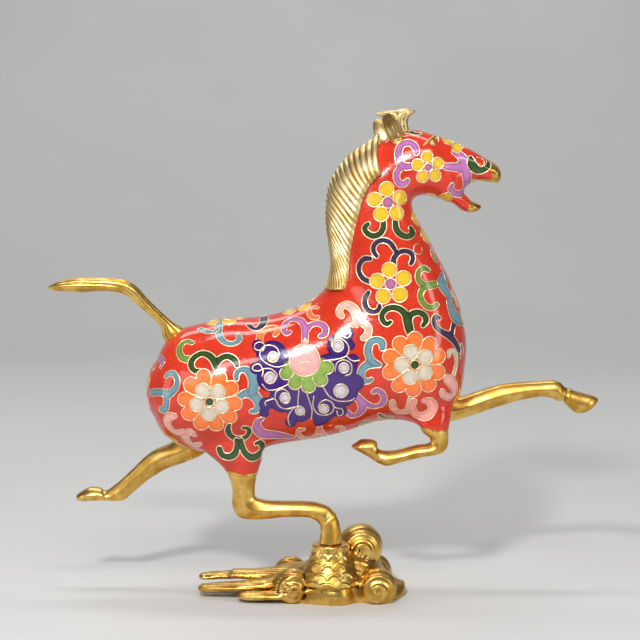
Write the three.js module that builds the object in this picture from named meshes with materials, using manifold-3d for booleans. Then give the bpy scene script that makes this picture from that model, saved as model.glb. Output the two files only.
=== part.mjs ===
// A galloping horse in gilt and enamelled copper, standing with one hoof on a bank of clouds.
// Millimetres, Z up. The horse faces +X. The origin is the middle of the base's flat underside.
import * as THREE from "three";
import { mergeVertices } from "three/addons/utils/BufferGeometryUtils.js";
import Module from "manifold-3d";

const wasm = await Module();
wasm.setup();

// Driving dimensions
const GAP = 0.3; // between two castings that meet
const LEG_OFFSET = 11; // from the middle plane to each leg
const PAD_HEIGHT = 23.2; // cloud top under the standing hoof
const MANE_STRANDS = 28;
const MANE_CREST = 3.3; // thickness of the mane on the neck's crest
const MANE_EDGE = 1.1; // and where it ends on the neck's sides
const STRAND_DEPTH = 0.5; // half the height of a strand over the groove beside it
const CAP_ANGLE = Math.PI / 3; // how much of a dome closes a rounded end

// Every casting is drawn like a ship's hull, as a plan of cross-sections. A row is one section:
// x and z of its upper or outer edge, x and z of its lower or inner edge, then its half width.
// A half width of 0 is a point that closes the end.
const BODY_PLAN = [
  [-63, 85, -63, 85, 0],
  [-61.4, 92.8, -62.2, 77.7, 9],
  [-58.6, 97.7, -60, 73.2, 13.5],
  [-55.3, 103.8, -56.2, 67, 18],
  [-49.3, 108.9, -50.1, 63.4, 21.3],
  [-41.2, 111.3, -41.2, 60, 23.3],
  [-31.1, 113.6, -31.1, 61, 24],
  [-19, 114, -19, 62.3, 24.3],
  [-6.9, 116.4, -6.9, 63.1, 24.3],
  [0.4, 119.3, 4.4, 64.3, 24],
  [5.7, 122.5, 17.4, 67.2, 23.6],
  [8.9, 125.4, 29.5, 71.2, 23.2],
  [10.9, 128.6, 40.8, 72.4, 22.8],
  [12.5, 132.3, 51.7, 71.6, 22.2],
  [13.3, 136.3, 63.8, 80, 21.4],
  [13.3, 140.8, 66.3, 94.4, 20.4],
  [12.9, 145.3, 66.3, 106.6, 19.2],
  [12.5, 150.2, 63.4, 119.7, 17.8],
  [12.5, 155.5, 58.2, 132.3, 16],
  [12.9, 160.8, 53.3, 141.6, 14.4],
  [14.1, 166.5, 48.5, 150.2, 13],
  [17, 172.2, 45.2, 156.7, 12],
  [21.6, 177.5, 44.4, 160.4, 11.3],
  [28, 181.8, 46.1, 162.4, 11],
  [34.9, 186.6, 49.3, 163, 10.9],
  [41.6, 189.5, 52.9, 162.4, 10.6],
  [47.7, 189, 56.6, 161, 10],
  [53.3, 187.2, 60.2, 159.8, 9],
  [58.6, 185.6, 63.4, 160.9, 8],
  [63.4, 183.7, 65.9, 166.2, 7],
  [67.9, 181.5, 69.5, 168.7, 6.4],
  [72.7, 178.6, 73.5, 168.4, 6.2],
  [76.4, 176.6, 76.8, 168, 5.7],
  [78.9, 174.6, 78.9, 168, 4.7],
  [80, 171.2, 80, 171.2, 0],
];
const JAW_PLAN = [
  [49.7, 169.7, 51.7, 164.8, 4],
  [56.6, 168.1, 58.2, 160.9, 5.6],
  [62.2, 166, 61.8, 158.7, 5.6],
  [65, 164.3, 63.8, 157.1, 5],
  [67.9, 161.3, 66.7, 156.1, 4.4],
  [70.5, 160, 69.7, 156.3, 3.4],
  [72.2, 158.2, 72.2, 158.2, 0],
];
const STANDING_LEG_PLAN = [
  [-29, 56, -18.8, 56, 5],
  [-30, 51.5, -17.8, 51.3, 5.9],
  [-28.9, 48.2, -18.3, 48, 5.2],
  [-28.3, 43.8, -18.6, 44.8, 4.8],
  [-28.3, 38.4, -18.2, 42.4, 4.6],
  [-25.5, 33.8, -16.4, 41.7, 4.5],
  [-18.3, 32.9, -12.8, 41, 4.3],
  [-6.7, 33.9, -6.3, 40.8, 4],
  [1.3, 33.9, 1.7, 40.6, 4],
  [4.8, 32.9, 6.5, 40, 4.1],
  [6.9, 30.7, 11.6, 37.9, 4.3],
  [7.3, 28.2, 14.8, 33.5, 4.5],
  [6.9, 25.9, 16.1, 28.7, 4.8],
  [6.5, 23.5, 16.5, 23.5, 5.4],
];
const TRAILING_LEG_PLAN = [
  [-49.2, 64.2, -36.1, 59.3, 7],
  [-55.6, 60.1, -41.4, 55, 6.5],
  [-61.3, 57.7, -46.9, 52.6, 5.6],
  [-65.8, 54.2, -54.9, 49.8, 4.8],
  [-70.3, 49.6, -62.6, 45.3, 4.3],
  [-75.2, 45, -68, 40.9, 4],
  [-79.3, 41.8, -73.4, 36.4, 3.8],
  [-81.5, 40.5, -79, 36, 3.3],
  [-83.9, 41.8, -82.3, 36.2, 4],
  [-87.6, 42, -87.6, 36.1, 4.4],
  [-90.9, 40.4, -90.9, 36, 3.6],
  [-93.4, 37.6, -93.4, 37.6, 0],
];
const REACHING_LEG_PLAN = [
  [53, 81.4, 47.4, 70.9, 7],
  [60.4, 80.7, 53, 68.3, 6.4],
  [65.7, 80.2, 61.2, 69.2, 5.8],
  [72.7, 82.5, 71.1, 72.1, 5.2],
  [80.9, 84.9, 79.7, 75.1, 4.6],
  [89.1, 85.9, 88.7, 77.8, 4.2],
  [97.3, 86.3, 97.3, 79.4, 3.9],
  [102.5, 86.7, 102.5, 78.8, 4.1],
  [105.8, 85.9, 105, 77.6, 4],
  [107.9, 83.9, 107, 77.6, 3.4],
  [112.3, 82.3, 109.1, 75.3, 4.2],
  [116.4, 81.2, 112.4, 72.7, 4.4],
  [120.2, 79.9, 116.8, 73.3, 3.7],
  [121.2, 77.1, 121.2, 77.1, 0],
];
const FOLDED_LEG_PLAN = [
  [58.4, 73.5, 47.8, 73.5, 5],
  [59.1, 69.5, 47.4, 69.5, 5.4],
  [59.2, 65.1, 50.8, 66.7, 4.6],
  [58, 61.4, 51.2, 65.1, 4.4],
  [54.7, 59.6, 50, 64.1, 4.2],
  [47.2, 58.2, 45.6, 63.5, 3.9],
  [39.2, 56.1, 38, 61.6, 3.8],
  [34.4, 54.9, 33.2, 61.4, 4],
  [30.4, 56.1, 30.8, 62.2, 3.5],
  [27.7, 57.8, 29.6, 65.5, 4.2],
  [23.2, 60.6, 24.4, 65.9, 4.4],
  [20.8, 62, 21.6, 64.3, 3],
  [20, 63.1, 20, 63.1, 0],
];
const TAIL_PLAN = [
  [-44.4, 103.8, -52.5, 99.7, 4],
  [-46.9, 108.7, -56.2, 105.4, 4],
  [-51.7, 111.7, -57, 109.5, 3.2],
  [-57.4, 116.6, -60.6, 113.6, 2.9],
  [-62.6, 121.9, -65.9, 118.4, 2.8],
  [-66.7, 126.4, -69.9, 121.7, 2.8],
  [-71.5, 129, -73.1, 123.5, 2.8],
  [-77.6, 129.8, -77.6, 124.3, 2.9],
  [-83.6, 130, -83.2, 124.3, 3.2],
  [-89.7, 130.2, -89.7, 123.9, 3.6],
  [-95.3, 129.2, -95.3, 124.3, 3],
  [-99.4, 127.8, -99.4, 124.7, 2],
  [-102.6, 125.8, -102.6, 125.8, 0],
];
const FORWARD_LOCK_PLAN = [
  [36.2, 188.8, 43.4, 188.4, 3.2],
  [36.2, 193, 42.6, 191.6, 3.4],
  [36.8, 196.4, 42.8, 193.6, 3.3],
  [40, 197.8, 43.6, 195, 2.6],
  [43, 197.7, 44.6, 195.9, 1.6],
  [45.3, 196.8, 45.3, 196.8, 0],
];
const BACKWARD_LOCK_PLAN = [
  [41.2, 188.8, 34.7, 188.4, 3],
  [40.8, 193.4, 35.1, 192.2, 3],
  [38.9, 196.9, 34.5, 193.6, 2.7],
  [35, 197, 32.4, 194.3, 2.2],
  [32, 196.5, 31, 194.9, 1.4],
  [29.4, 195.5, 29.4, 195.5, 0],
];

// Sleeves carry the enamelled skin a little way down the two near legs.
const HIND_SLEEVE_PLAN = [
  [-44, 66, -11, 67, 7.8],
  [-40.6, 61.5, -14.8, 62, 7.5],
  [-35.6, 57.8, -15.8, 57.8, 7],
  [-32.2, 54.6, -16.9, 54.4, 6.4],
  [-30, 51.6, -17.8, 51.4, 5.9],
];
const FORE_SLEEVE_PLAN = [
  [61.5, 80, 42.5, 80, 6.5, 1.5],
  [60.4, 76, 44, 75.5, 6.2, 1],
  [59.6, 72.5, 45.8, 72, 5.9, 0.4],
  [59.1, 69.6, 47.2, 69.6, 5.5, 0],
];

// Muscles and leg roots swell the body near a point, by a push that fades with distance.
// Each pair is a right one, at -y, and its mirror image.
const MUSCLE_PAIRS = [
  { at: [-36, -22, 84], reach: 15, push: [0, -2, 0] }, // haunch
  { at: [-3, -24, 88], reach: 13, push: [0, 1.2, 0] }, // hollow of the flank
  { at: [44, -20, 94], reach: 13, push: [0, -1.8, 0] }, // shoulder
  { at: [52, -9, 172], reach: 6, push: [0, -1.4, 0] }, // cheek
  { at: [52, -7, 184], reach: 4, push: [0, -1.1, 0.2] }, // brow
  { at: [57, 0, 76], reach: 9, push: [-1.2, 0, 0] }, // dip between the forelegs
];
const LEG_ROOTS = [
  { at: [-24, -LEG_OFFSET, 60], reach: 9, push: [0.5, 0, -4] },
  { at: [-47, LEG_OFFSET, 65], reach: 8, push: [-3, 0, -3.5] },
  { at: [52, -LEG_OFFSET, 73], reach: 8, push: [0, 0, -2] },
  { at: [57, LEG_OFFSET, 77], reach: 8, push: [2.5, 0, -1] },
];

const EYE = { x: 52.2, y: 5.4, z: 184.2, radius: 1.9 };

const GILT = { color: 0xc79a3a, metalness: 1, roughness: 0.32 };
const ENAMEL = { color: 0xd83c1e, metalness: 0.1, roughness: 0.18 };

// Helpers

// A smooth curve through rows of numbers, at t between the rows b and c
function between(a, b, c, d, t) {
  return b.map((value, i) => {
    const slope = c[i] - a[i];
    const bend = 2 * a[i] - 5 * value + 4 * c[i] - d[i];
    const twist = 3 * value - a[i] - 3 * c[i] + d[i];
    return value + 0.5 * t * (slope + t * (bend + t * twist));
  });
}

// From edges to middle x, middle z, half height in x and z, half width, and y
function sectionOf([upperX, upperZ, lowerX, lowerZ, halfWidth, y = 0]) {
  const middle = [(upperX + lowerX) / 2, (upperZ + lowerZ) / 2];
  return [...middle, (upperX - lowerX) / 2, (upperZ - lowerZ) / 2, halfWidth, y];
}

// The dome between an end point and the section beside it
function domeSection(point, section, t) {
  const angle = CAP_ANGLE * t;
  const along = (1 - Math.cos(angle)) / (1 - Math.cos(CAP_ANGLE));
  const across = Math.sin(angle) / Math.sin(CAP_ANGLE);
  return section.map((value, i) => {
    const share = i >= 2 && i <= 4 ? across : along;
    return point[i] + (value - point[i]) * share;
  });
}

// The section at a place u along a plan, where whole numbers are its rows
function sectionAt(plan, u) {
  const last = plan.length - 1;
  const i = Math.min(Math.floor(u), last - 1);
  const row = (k) => sectionOf(plan[Math.max(0, Math.min(last, k))]);
  if (i === 0 && plan[0][4] === 0) return domeSection(row(0), row(1), u);
  if (i === last - 1 && plan[last][4] === 0) return domeSection(row(last), row(last - 1), last - u);
  return between(row(i - 1), row(i), row(i + 1), row(i + 2), u - i);
}

// A point on a section: angle 0 is its upper edge, a quarter turn its right side, at -y.
// Lean makes the section narrower towards its upper edge.
function sectionPoint([x, z, halfX, halfZ, halfWidth, y], angle, lean = 0) {
  const up = Math.cos(angle);
  const side = Math.sin(angle) * (1 - lean * up);
  return new THREE.Vector3(x + halfX * up, y - halfWidth * side, z + halfZ * up);
}

// A closed surface; where its triangles face inwards, they are all turned round.
function closedGeometry(points, triangles) {
  const volume = triangles.reduce((sum, [a, b, c]) => {
    return sum + points[a].dot(points[b].clone().cross(points[c]));
  }, 0);
  const facing = volume > 0 ? triangles : triangles.map(([a, b, c]) => [a, c, b]);
  const geometry = new THREE.BufferGeometry().setFromPoints(points);
  geometry.setIndex(facing.flat());
  geometry.computeVertexNormals();
  return geometry;
}

// Rings of equally many points become a tube, closed at each end by a fan round its middle.
function skin(rings) {
  const sides = rings[0].length;
  const points = rings.flat();
  const triangles = [];
  for (let i = 0; i + 1 < rings.length; i += 1) {
    for (let k = 0; k < sides; k += 1) {
      const next = (k + 1) % sides;
      const [a, b] = [i * sides + k, i * sides + next];
      const [c, d] = [a + sides, b + sides];
      triangles.push([a, b, d], [a, d, c]);
    }
  }
  const ends = [
    { ring: rings[0], start: 0, flip: true },
    { ring: rings.at(-1), start: (rings.length - 1) * sides, flip: false },
  ];
  for (const { ring, start, flip } of ends) {
    const middle = ring.reduce((sum, p) => sum.add(p), new THREE.Vector3()).divideScalar(sides);
    points.push(middle);
    for (let k = 0; k < sides; k += 1) {
      const pair = [start + k, start + ((k + 1) % sides)];
      triangles.push([...(flip ? pair.reverse() : pair), points.length - 1]);
    }
  }
  return closedGeometry(points, triangles);
}

// A closed form along a plan; swell, if given, moves each point of its surface.
function loft(plan, { sides, steps, y = 0, lean = () => 0, swell = (p) => p }) {
  const last = plan.length - 1;
  const tip = 0.5 / steps;
  const ends = [plan[0][4] === 0 ? tip : 0, last - (plan[last][4] === 0 ? tip : 0)];
  const count = Math.round((ends[1] - ends[0]) * steps);
  const rings = [];
  for (let i = 0; i <= count; i += 1) {
    const u = ends[0] + ((ends[1] - ends[0]) * i) / count;
    const section = sectionAt(plan, u);
    section[5] += y;
    const ring = [];
    for (let k = 0; k < sides; k += 1) {
      ring.push(swell(sectionPoint(section, (2 * Math.PI * k) / sides, lean(u))));
    }
    rings.push(ring);
  }
  return skin(rings);
}

function solidOf(geometry) {
  const plain = new THREE.BufferGeometry();
  plain.setAttribute("position", geometry.getAttribute("position"));
  plain.setIndex(geometry.index);
  const merged = mergeVertices(plain, 1e-4);
  return new wasm.Manifold(new wasm.Mesh({
    numProp: 3,
    vertProperties: new Float32Array(merged.attributes.position.array),
    triVerts: new Uint32Array(merged.index.array),
  }));
}

function geometryOf(solid) {
  const { vertProperties, triVerts } = solid.getMesh();
  const geometry = new THREE.BufferGeometry();
  geometry.setAttribute("position", new THREE.BufferAttribute(vertProperties, 3));
  geometry.setIndex(new THREE.BufferAttribute(triVerts, 1));
  geometry.computeVertexNormals();
  return geometry;
}

// The same form grown outwards by a distance
function grown(geometry, distance) {
  const copy = geometry.clone();
  const { position, normal } = copy.attributes;
  for (let i = 0; i < position.count; i += 1) {
    const p = new THREE.Vector3().fromBufferAttribute(position, i);
    p.addScaledVector(new THREE.Vector3().fromBufferAttribute(normal, i), distance);
    position.setXYZ(i, p.x, p.y, p.z);
  }
  return copy;
}

function joined(solids) {
  return solids.reduce((sum, next) => sum.add(next));
}

function placed(geometry, x, y, z) {
  return solidOf(geometry.translate(x, y, z));
}

function mesh(name, solid, look) {
  const made = new THREE.Mesh(geometryOf(solid), new THREE.MeshStandardMaterial(look));
  made.name = name;
  return made;
}

// Body: the barrel, neck and head are one loft, and the lower jaw and the sleeves are joined to it.

function pushed(point, { at, reach, push }) {
  const centre = new THREE.Vector3(...at);
  const fade = Math.exp(-point.distanceToSquared(centre) / (2 * reach * reach));
  return new THREE.Vector3(...push).multiplyScalar(fade);
}

function mirrored({ at, reach, push }) {
  return { at: [at[0], -at[1], at[2]], reach, push: [push[0], -push[1], push[2]] };
}

const SWELLS = [...MUSCLE_PAIRS, ...MUSCLE_PAIRS.map(mirrored), ...LEG_ROOTS];

function swollen(point) {
  return SWELLS.reduce((sum, muscle) => sum.add(pushed(point, muscle)), point.clone());
}

// The neck is narrower at its crest, and the barrel a little fuller below.
function bodyLean(u) {
  return 0.06 + 0.2 * THREE.MathUtils.smoothstep(u, 10, 17) * (1 - THREE.MathUtils.smoothstep(u, 20, 25));
}

const trunk = loft(BODY_PLAN, { sides: 16, steps: 2, lean: bodyLean, swell: swollen });
const jaw = loft(JAW_PLAN, { sides: 10, steps: 2 });
const sleeves = [HIND_SLEEVE_PLAN, FORE_SLEEVE_PLAN].map((plan) => {
  return loft(plan, { sides: 12, steps: 2, y: -LEG_OFFSET });
});

function eyeball(side) {
  return placed(new THREE.SphereGeometry(EYE.radius, 10, 6), EYE.x, side * EYE.y, EYE.z);
}

const skins = [trunk, jaw, ...sleeves];
const bodySolid = joined([...skins.map(solidOf), eyeball(-1), eyeball(1)]);
const bodyRoom = joined(skins.map((form) => solidOf(grown(form, GAP))));

// Mane: strands run from the crest down and forwards to each side of the neck.
// Row by row, the outer surface alternates between the top of a strand and a groove.

const MANE_TOP = 23.7; // places along the body's plan
const MANE_BOTTOM = 11.2;
const MANE_EASE = 0.22; // evens out the strands, because the plan's rows lie closer low on the neck
const MANE_SWEEP = { low: 2.3, high: 1.4 }; // how far a strand falls back along the plan on its way
const MANE_BEND = 1.5; // above 1 it falls back mostly near its lower end
const MANE_COLUMNS = 4;
const MANE_END = 125; // height at which the mane is cut off level

// How far round the neck the mane reaches on each side
function maneReach(u) {
  return THREE.MathUtils.degToRad(38 + 40 * THREE.MathUtils.smoothstep(u, 14.5, 23));
}

function manePoint(crestU, share, lift) {
  const height = THREE.MathUtils.smoothstep(crestU, 16, 22);
  const sweep = THREE.MathUtils.lerp(MANE_SWEEP.low, MANE_SWEEP.high, height);
  const u = crestU - sweep * Math.abs(share) ** MANE_BEND;
  const section = sectionAt(BODY_PLAN, u);
  const angle = maneReach(u) * share;
  const surface = swollen(sectionPoint(section, angle, bodyLean(u)));
  const middle = new THREE.Vector3(section[0], section[5], section[1]);
  const outwards = surface.clone().sub(middle).normalize();
  return surface.addScaledVector(outwards, lift);
}

function mane() {
  const rings = [];
  const rows = 2 * MANE_STRANDS;
  for (let row = 0; row <= rows; row += 1) {
    const progress = row / rows;
    const eased = progress + MANE_EASE * progress * (1 - progress);
    const crestU = MANE_BOTTOM + (MANE_TOP - MANE_BOTTOM) * eased;
    const strand = row % 2 === 1 ? STRAND_DEPTH : -STRAND_DEPTH;
    const taper = 0.55 + 0.45 * THREE.MathUtils.smoothstep(progress, 0, 0.3);
    const outer = [];
    for (let column = 0; column <= MANE_COLUMNS; column += 1) {
      const share = (2 * column) / MANE_COLUMNS - 1;
      const thickness = MANE_EDGE + (MANE_CREST * taper - MANE_EDGE) * (1 - share * share);
      outer.push(manePoint(crestU, share, thickness + strand));
    }
    const inner = [1, 0, -1].map((share) => manePoint(crestU, share, -1));
    rings.push([...outer, ...inner]);
  }
  const below = new THREE.BoxGeometry(80, 60, 60).translate(0, 0, MANE_END - 30);
  return solidOf(skin(rings)).subtract(solidOf(below)).subtract(bodyRoom);
}

// Legs, tail and forelock

function leg(plan, y) {
  return solidOf(loft(plan, { sides: 8, steps: 2, y })).subtract(bodyRoom);
}

function tail() {
  return solidOf(loft(TAIL_PLAN, { sides: 8, steps: 2 })).subtract(bodyRoom);
}

function forelock() {
  const locks = [FORWARD_LOCK_PLAN, BACKWARD_LOCK_PLAN].map((plan) => {
    return solidOf(loft(plan, { sides: 8, steps: 1 }));
  });
  return joined(locks).subtract(bodyRoom);
}

// Ears: a leaf with a hollow in its outer face. The left one hangs further out and is a little shorter.
const EAR_WIDTH = 6.8;
const EAR_DEPTH = 4.6;
const EARS = {
  ear_right: { side: -1, x: 38.8, z: 184, height: 13.8, lean: -0.44, tilt: 0.18 },
  ear_left: { side: 1, x: 34.5, z: 183.2, height: 12.2, lean: -0.42, tilt: 0.5 },
};

function leaf(width, depth, height) {
  const outline = [];
  for (let i = 0; i <= 8; i += 1) {
    const t = i / 8;
    outline.push(new THREE.Vector2(Math.sin(Math.PI * t) ** 0.75 * (1.12 - 0.35 * t) * 0.5, t));
  }
  outline[8].x = 0;
  const geometry = new THREE.LatheGeometry(outline, 12);
  return geometry.rotateX(Math.PI / 2).scale(width, depth, height);
}

function ear({ side, x, z, height, lean, tilt }) {
  const shell = solidOf(leaf(EAR_WIDTH, EAR_DEPTH, height));
  const hollow = placed(leaf(EAR_WIDTH - 2, EAR_DEPTH, height - 3.2), 0, side * 1.9, 2.1);
  const cupped = geometryOf(shell.subtract(hollow));
  cupped.rotateX(-tilt * side).rotateY(lean);
  return placed(cupped, x, side * 6.6, z).subtract(bodyRoom);
}

// Base: a bank of cloud. A smooth mass rises to a peak, a stump on it carries the hoof, round puffs
// stand round its foot, a spiral line is raised on each puff, and wisps trail behind.
// Rows of the mass give x, its height, its half width, and y of its middle.
const MASS = [
  [-22, 4, 3, -2],
  [-10, 9.5, 10, -3],
  [0, 13, 14, -4],
  [8, 19, 16, -5],
  [16, 22.5, 17, -3],
  [23.4, 22.4, 17, 0],
  [30.2, 14.8, 16, 0],
  [35.2, 8.4, 13, 0],
  [39.6, 5.2, 9, 0],
  [42.4, 2.5, 0, 0],
];
const STUMP_PROFILE = [[7.3, 0], [7.9, 4], [10.4, 10], [13.5, 16]]; // radius and depth below the top
const STUMP = { x: 11.6, y: -LEG_OFFSET, height: PAD_HEIGHT, profile: STUMP_PROFILE };
const PUFFS = [
  { x: 23.8, y: 1, z: 19.4, radius: 9.2, halfWidth: 11, faces: [-1, 1] },
  { x: -3.5, y: -12.5, z: 5, radius: 8, halfWidth: 7.5, faces: [-1] },
  { x: 30.2, y: -13.5, z: 5.4, radius: 8.2, halfWidth: 8, faces: [-1] },
  { x: -4.5, y: 12, z: 4.6, radius: 7.6, halfWidth: 7.5, faces: [1] },
  { x: 29, y: 13.5, z: 5.4, radius: 8.2, halfWidth: 8, faces: [1] },
  { x: 13, y: 15, z: 4, radius: 7.8, halfWidth: 7.5, faces: [] },
  { x: 13.5, y: -16, z: 2.5, radius: 7.5, halfWidth: 6.5, faces: [] },
];
// A wisp's root, middle and end each give x, the height of its upper face, and y.
const WISPS = [
  { places: [[4, 13.6, 0], [-14, 9.9, 1], [-28.4, 9.1, 2]], halfWidth: 6.5, thickness: 4.6 },
  { places: [[6, 9.3, 9], [-17, 7.4, 10], [-41, 6.4, 7]], halfWidth: 6, thickness: 3.4 },
  { places: [[6, 11.6, -5], [-18, 7, -7], [-40.6, 4.6, -5]], halfWidth: 6.5, thickness: 4.2 },
  { places: [[6, 7.5, -13], [-10, 4.6, -15.5], [-24, 3.6, -15]], halfWidth: 6, thickness: 3.8 },
];
// Its reaches and thickness are shares of the puff's radius.
const SPIRAL = { turns: 1.4, outer: 0.78, inner: 0.14, thickness: 0.1, steps: 9 };

function massPlan() {
  return MASS.map(([x, height, halfWidth, y]) => {
    return halfWidth ? [x, height, x, -height, halfWidth, y] : [x, height, x, height, 0, y];
  });
}

// The stump flares downwards.
function stump({ x, y, height, profile }) {
  const side = profile.map(([radius, depth]) => new THREE.Vector2(radius, -depth)).reverse();
  const closed = [new THREE.Vector2(0, side[0].y), ...side, new THREE.Vector2(0, 0)];
  return placed(new THREE.LatheGeometry(closed, 12).rotateX(Math.PI / 2), x, y, height);
}

function puff({ x, y, z, radius, halfWidth }) {
  return placed(new THREE.SphereGeometry(1, 10, 7).scale(radius, halfWidth, radius), x, y, z);
}

// A wisp narrows towards its end, which is blunt.
function wisp({ places, halfWidth, thickness }) {
  const plan = places.map(([x, top, y], i) => {
    const share = 1 - 0.19 * i;
    return [x, top, x, top - thickness * share, halfWidth * share, y];
  });
  const [x, top, y] = places.at(-1);
  const tip = [x - 1.8, top - thickness * 0.35];
  return solidOf(loft([...plan, [...tip, ...tip, 0, y]], { sides: 6, steps: 2 }));
}

// The spiral line raised on one face of a puff
function spiral({ x, y, z, radius, halfWidth }, face) {
  const rings = [];
  for (let i = 0; i <= SPIRAL.steps; i += 1) {
    const progress = i / SPIRAL.steps;
    const angle = 2 * Math.PI * (SPIRAL.turns * progress - 0.2);
    const reach = SPIRAL.outer + (SPIRAL.inner - SPIRAL.outer) * progress;
    const across = face * halfWidth * Math.sqrt(1 - reach * reach);
    const out = new THREE.Vector3(Math.cos(angle), 0, Math.sin(angle));
    const centre = new THREE.Vector3(x, y + across, z).addScaledVector(out, reach * radius);
    const thickness = radius * SPIRAL.thickness * (1 - 0.35 * progress);
    const ring = [];
    for (let k = 0; k < 4; k += 1) {
      const turn = (Math.PI * k) / 2;
      const point = centre.clone().addScaledVector(out, thickness * Math.cos(turn));
      ring.push(point.add(new THREE.Vector3(0, thickness * Math.sin(turn), 0)));
    }
    rings.push(ring);
  }
  return solidOf(skin(rings));
}

function box(width, depth, height, x, y, z) {
  return placed(new THREE.BoxGeometry(width, depth, height), x, y, z);
}

function base() {
  const mass = solidOf(loft(massPlan(), { sides: 12, steps: 1 }));
  const lines = PUFFS.flatMap((one) => one.faces.map((face) => spiral(one, face)));
  const cloud = joined([mass, stump(STUMP), ...PUFFS.map(puff), ...WISPS.map(wisp), ...lines]);
  const overHoof = box(13, 13, 20, STUMP.x, STUMP.y, PAD_HEIGHT + 10);
  const ground = box(200, 200, 40, 0, 0, -20);
  return cloud.subtract(overHoof).subtract(ground);
}

const horse = new THREE.Group();
horse.add(
  mesh("body", bodySolid, ENAMEL),
  mesh("mane", mane(), GILT),
  mesh("forelock", forelock(), GILT),
  ...Object.entries(EARS).map(([name, form]) => mesh(name, ear(form), GILT)),
  mesh("tail", tail(), GILT),
  mesh("leg_hind_right", leg(STANDING_LEG_PLAN, -LEG_OFFSET), GILT),
  mesh("leg_hind_left", leg(TRAILING_LEG_PLAN, LEG_OFFSET), GILT),
  mesh("leg_front_left", leg(REACHING_LEG_PLAN, LEG_OFFSET), GILT),
  mesh("leg_front_right", leg(FOLDED_LEG_PLAN, -LEG_OFFSET), GILT),
  mesh("base", base(), GILT),
);

export default horse;
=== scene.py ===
# %% [markdown]
# # A galloping horse in enamel and gilt metal
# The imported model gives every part's place and size. This lesson rebuilds the visible surfaces round
# it: an enamelled body with wires, gilt castings for the mane, legs, tail and ears, and a gilt base.
# The frame is in metres. All the lengths below are in millimetres, and one factor, MM, converts them.

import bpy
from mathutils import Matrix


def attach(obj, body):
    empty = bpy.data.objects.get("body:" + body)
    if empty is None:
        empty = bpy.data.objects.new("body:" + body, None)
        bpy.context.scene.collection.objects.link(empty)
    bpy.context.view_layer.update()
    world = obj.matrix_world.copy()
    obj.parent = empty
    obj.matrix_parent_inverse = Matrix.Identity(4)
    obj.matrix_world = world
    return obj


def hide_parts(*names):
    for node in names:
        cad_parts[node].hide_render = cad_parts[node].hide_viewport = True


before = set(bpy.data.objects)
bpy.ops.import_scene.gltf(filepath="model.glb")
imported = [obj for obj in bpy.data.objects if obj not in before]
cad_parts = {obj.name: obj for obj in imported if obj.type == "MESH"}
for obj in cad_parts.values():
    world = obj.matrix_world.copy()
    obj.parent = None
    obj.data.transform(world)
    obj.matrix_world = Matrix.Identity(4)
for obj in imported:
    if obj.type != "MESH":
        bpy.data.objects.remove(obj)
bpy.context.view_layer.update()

import math

import bmesh
import bpy
import numpy as np
from mathutils import Vector
from mathutils.bvhtree import BVHTree
from mathutils.kdtree import KDTree

MM = 0.001
print("CAD nodes:", sorted(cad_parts))

# %% [markdown]
# ## The camera
# A product photograph is taken from a few times the object's length away, a little above its middle.
# A long lens at that distance gives the same gentle perspective. The focal length follows from the
# size that one pixel has on the object, so the picture's frame and the object's size agree.

# %% Place the camera
PHOTO_SIDE = 640  # pixels
PIXEL = 0.404  # mm on the object
DISTANCE = 900  # mm
ELEVATION = math.radians(7)
TARGET = np.array([7.3, 0, 112.7])
SENSOR = 36  # mm

VIEW_RIGHT = np.array([1.0, 0, 0])
VIEW_UP = np.array([0, math.sin(ELEVATION), math.cos(ELEVATION)])
VIEW_AHEAD = np.array([0, math.cos(ELEVATION), -math.sin(ELEVATION)])
CAMERA_PLACE = TARGET - DISTANCE * VIEW_AHEAD

camera_data = bpy.data.cameras.new("camera")
camera_data.sensor_width = SENSOR
camera_data.lens = SENSOR * DISTANCE / PIXEL / PHOTO_SIDE
camera_data.clip_start = 0.01
camera = bpy.data.objects.new("camera", camera_data)
bpy.context.scene.collection.objects.link(camera)
camera.location = CAMERA_PLACE * MM
camera.rotation_euler = (math.pi / 2 - ELEVATION, 0, 0)
bpy.context.scene.camera = camera
print("lens", round(camera_data.lens, 1), "mm")

# %% [markdown]
# ## Light and floor
# Gilt metal shows what is round it, so its look is mostly the look of the lights. A small bright panel
# at the front left gives the sharp sparks on the enamel, and the rough gilding spreads the same panel
# into broad highlights. A long panel above draws a bright band along the legs. Larger and weaker
# panels fill the shadows, and one is turned to the wall alone. The surrounding is dim, so that the
# hollows of the metal stay dark.

# %% Light the scene
def panel(name, place, aim, width, height, power):
    light = bpy.data.lights.new(name, "AREA")
    light.shape = "RECTANGLE"
    light.size = width * MM
    light.size_y = height * MM
    light.energy = power
    lamp = bpy.data.objects.new(name, light)
    bpy.context.scene.collection.objects.link(lamp)
    lamp.location = Vector(place) * MM
    toward = (Vector(aim) - Vector(place)).normalized()
    lamp.rotation_euler = toward.to_track_quat("-Z", "Y").to_euler()


MIDDLE = (0, 0, 110)
# each lamp has its place and aim, its width and height, all in mm, and its power in watts
panel("key_light", (-150, -650, 560), MIDDLE, 70, 70, 4)
panel("soft_light", (-420, -520, 420), MIDDLE, 260, 260, 0.6)
panel("fill_light", (620, -420, 260), MIDDLE, 160, 420, 1.1)
panel("rim_light", (-120, 420, 620), MIDDLE, 500, 120, 0.8)
panel("side_light", (-640, -160, 200), MIDDLE, 200, 420, 0.6)
panel("strip_light", (120, -520, 640), MIDDLE, 620, 90, 1.7)
panel("wall_light", (0, 200, 1300), (0, 1100, 500), 900, 300, 8)

world = bpy.data.worlds.new("surroundings")
world.use_nodes = True
world.node_tree.nodes["Background"].inputs["Color"].default_value = (0.55, 0.56, 0.58, 1)
world.node_tree.nodes["Background"].inputs["Strength"].default_value = 0.22
bpy.context.scene.world = world
bpy.context.scene.view_settings.view_transform = "Standard"
print(len(bpy.data.lights), "lamps")

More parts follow.
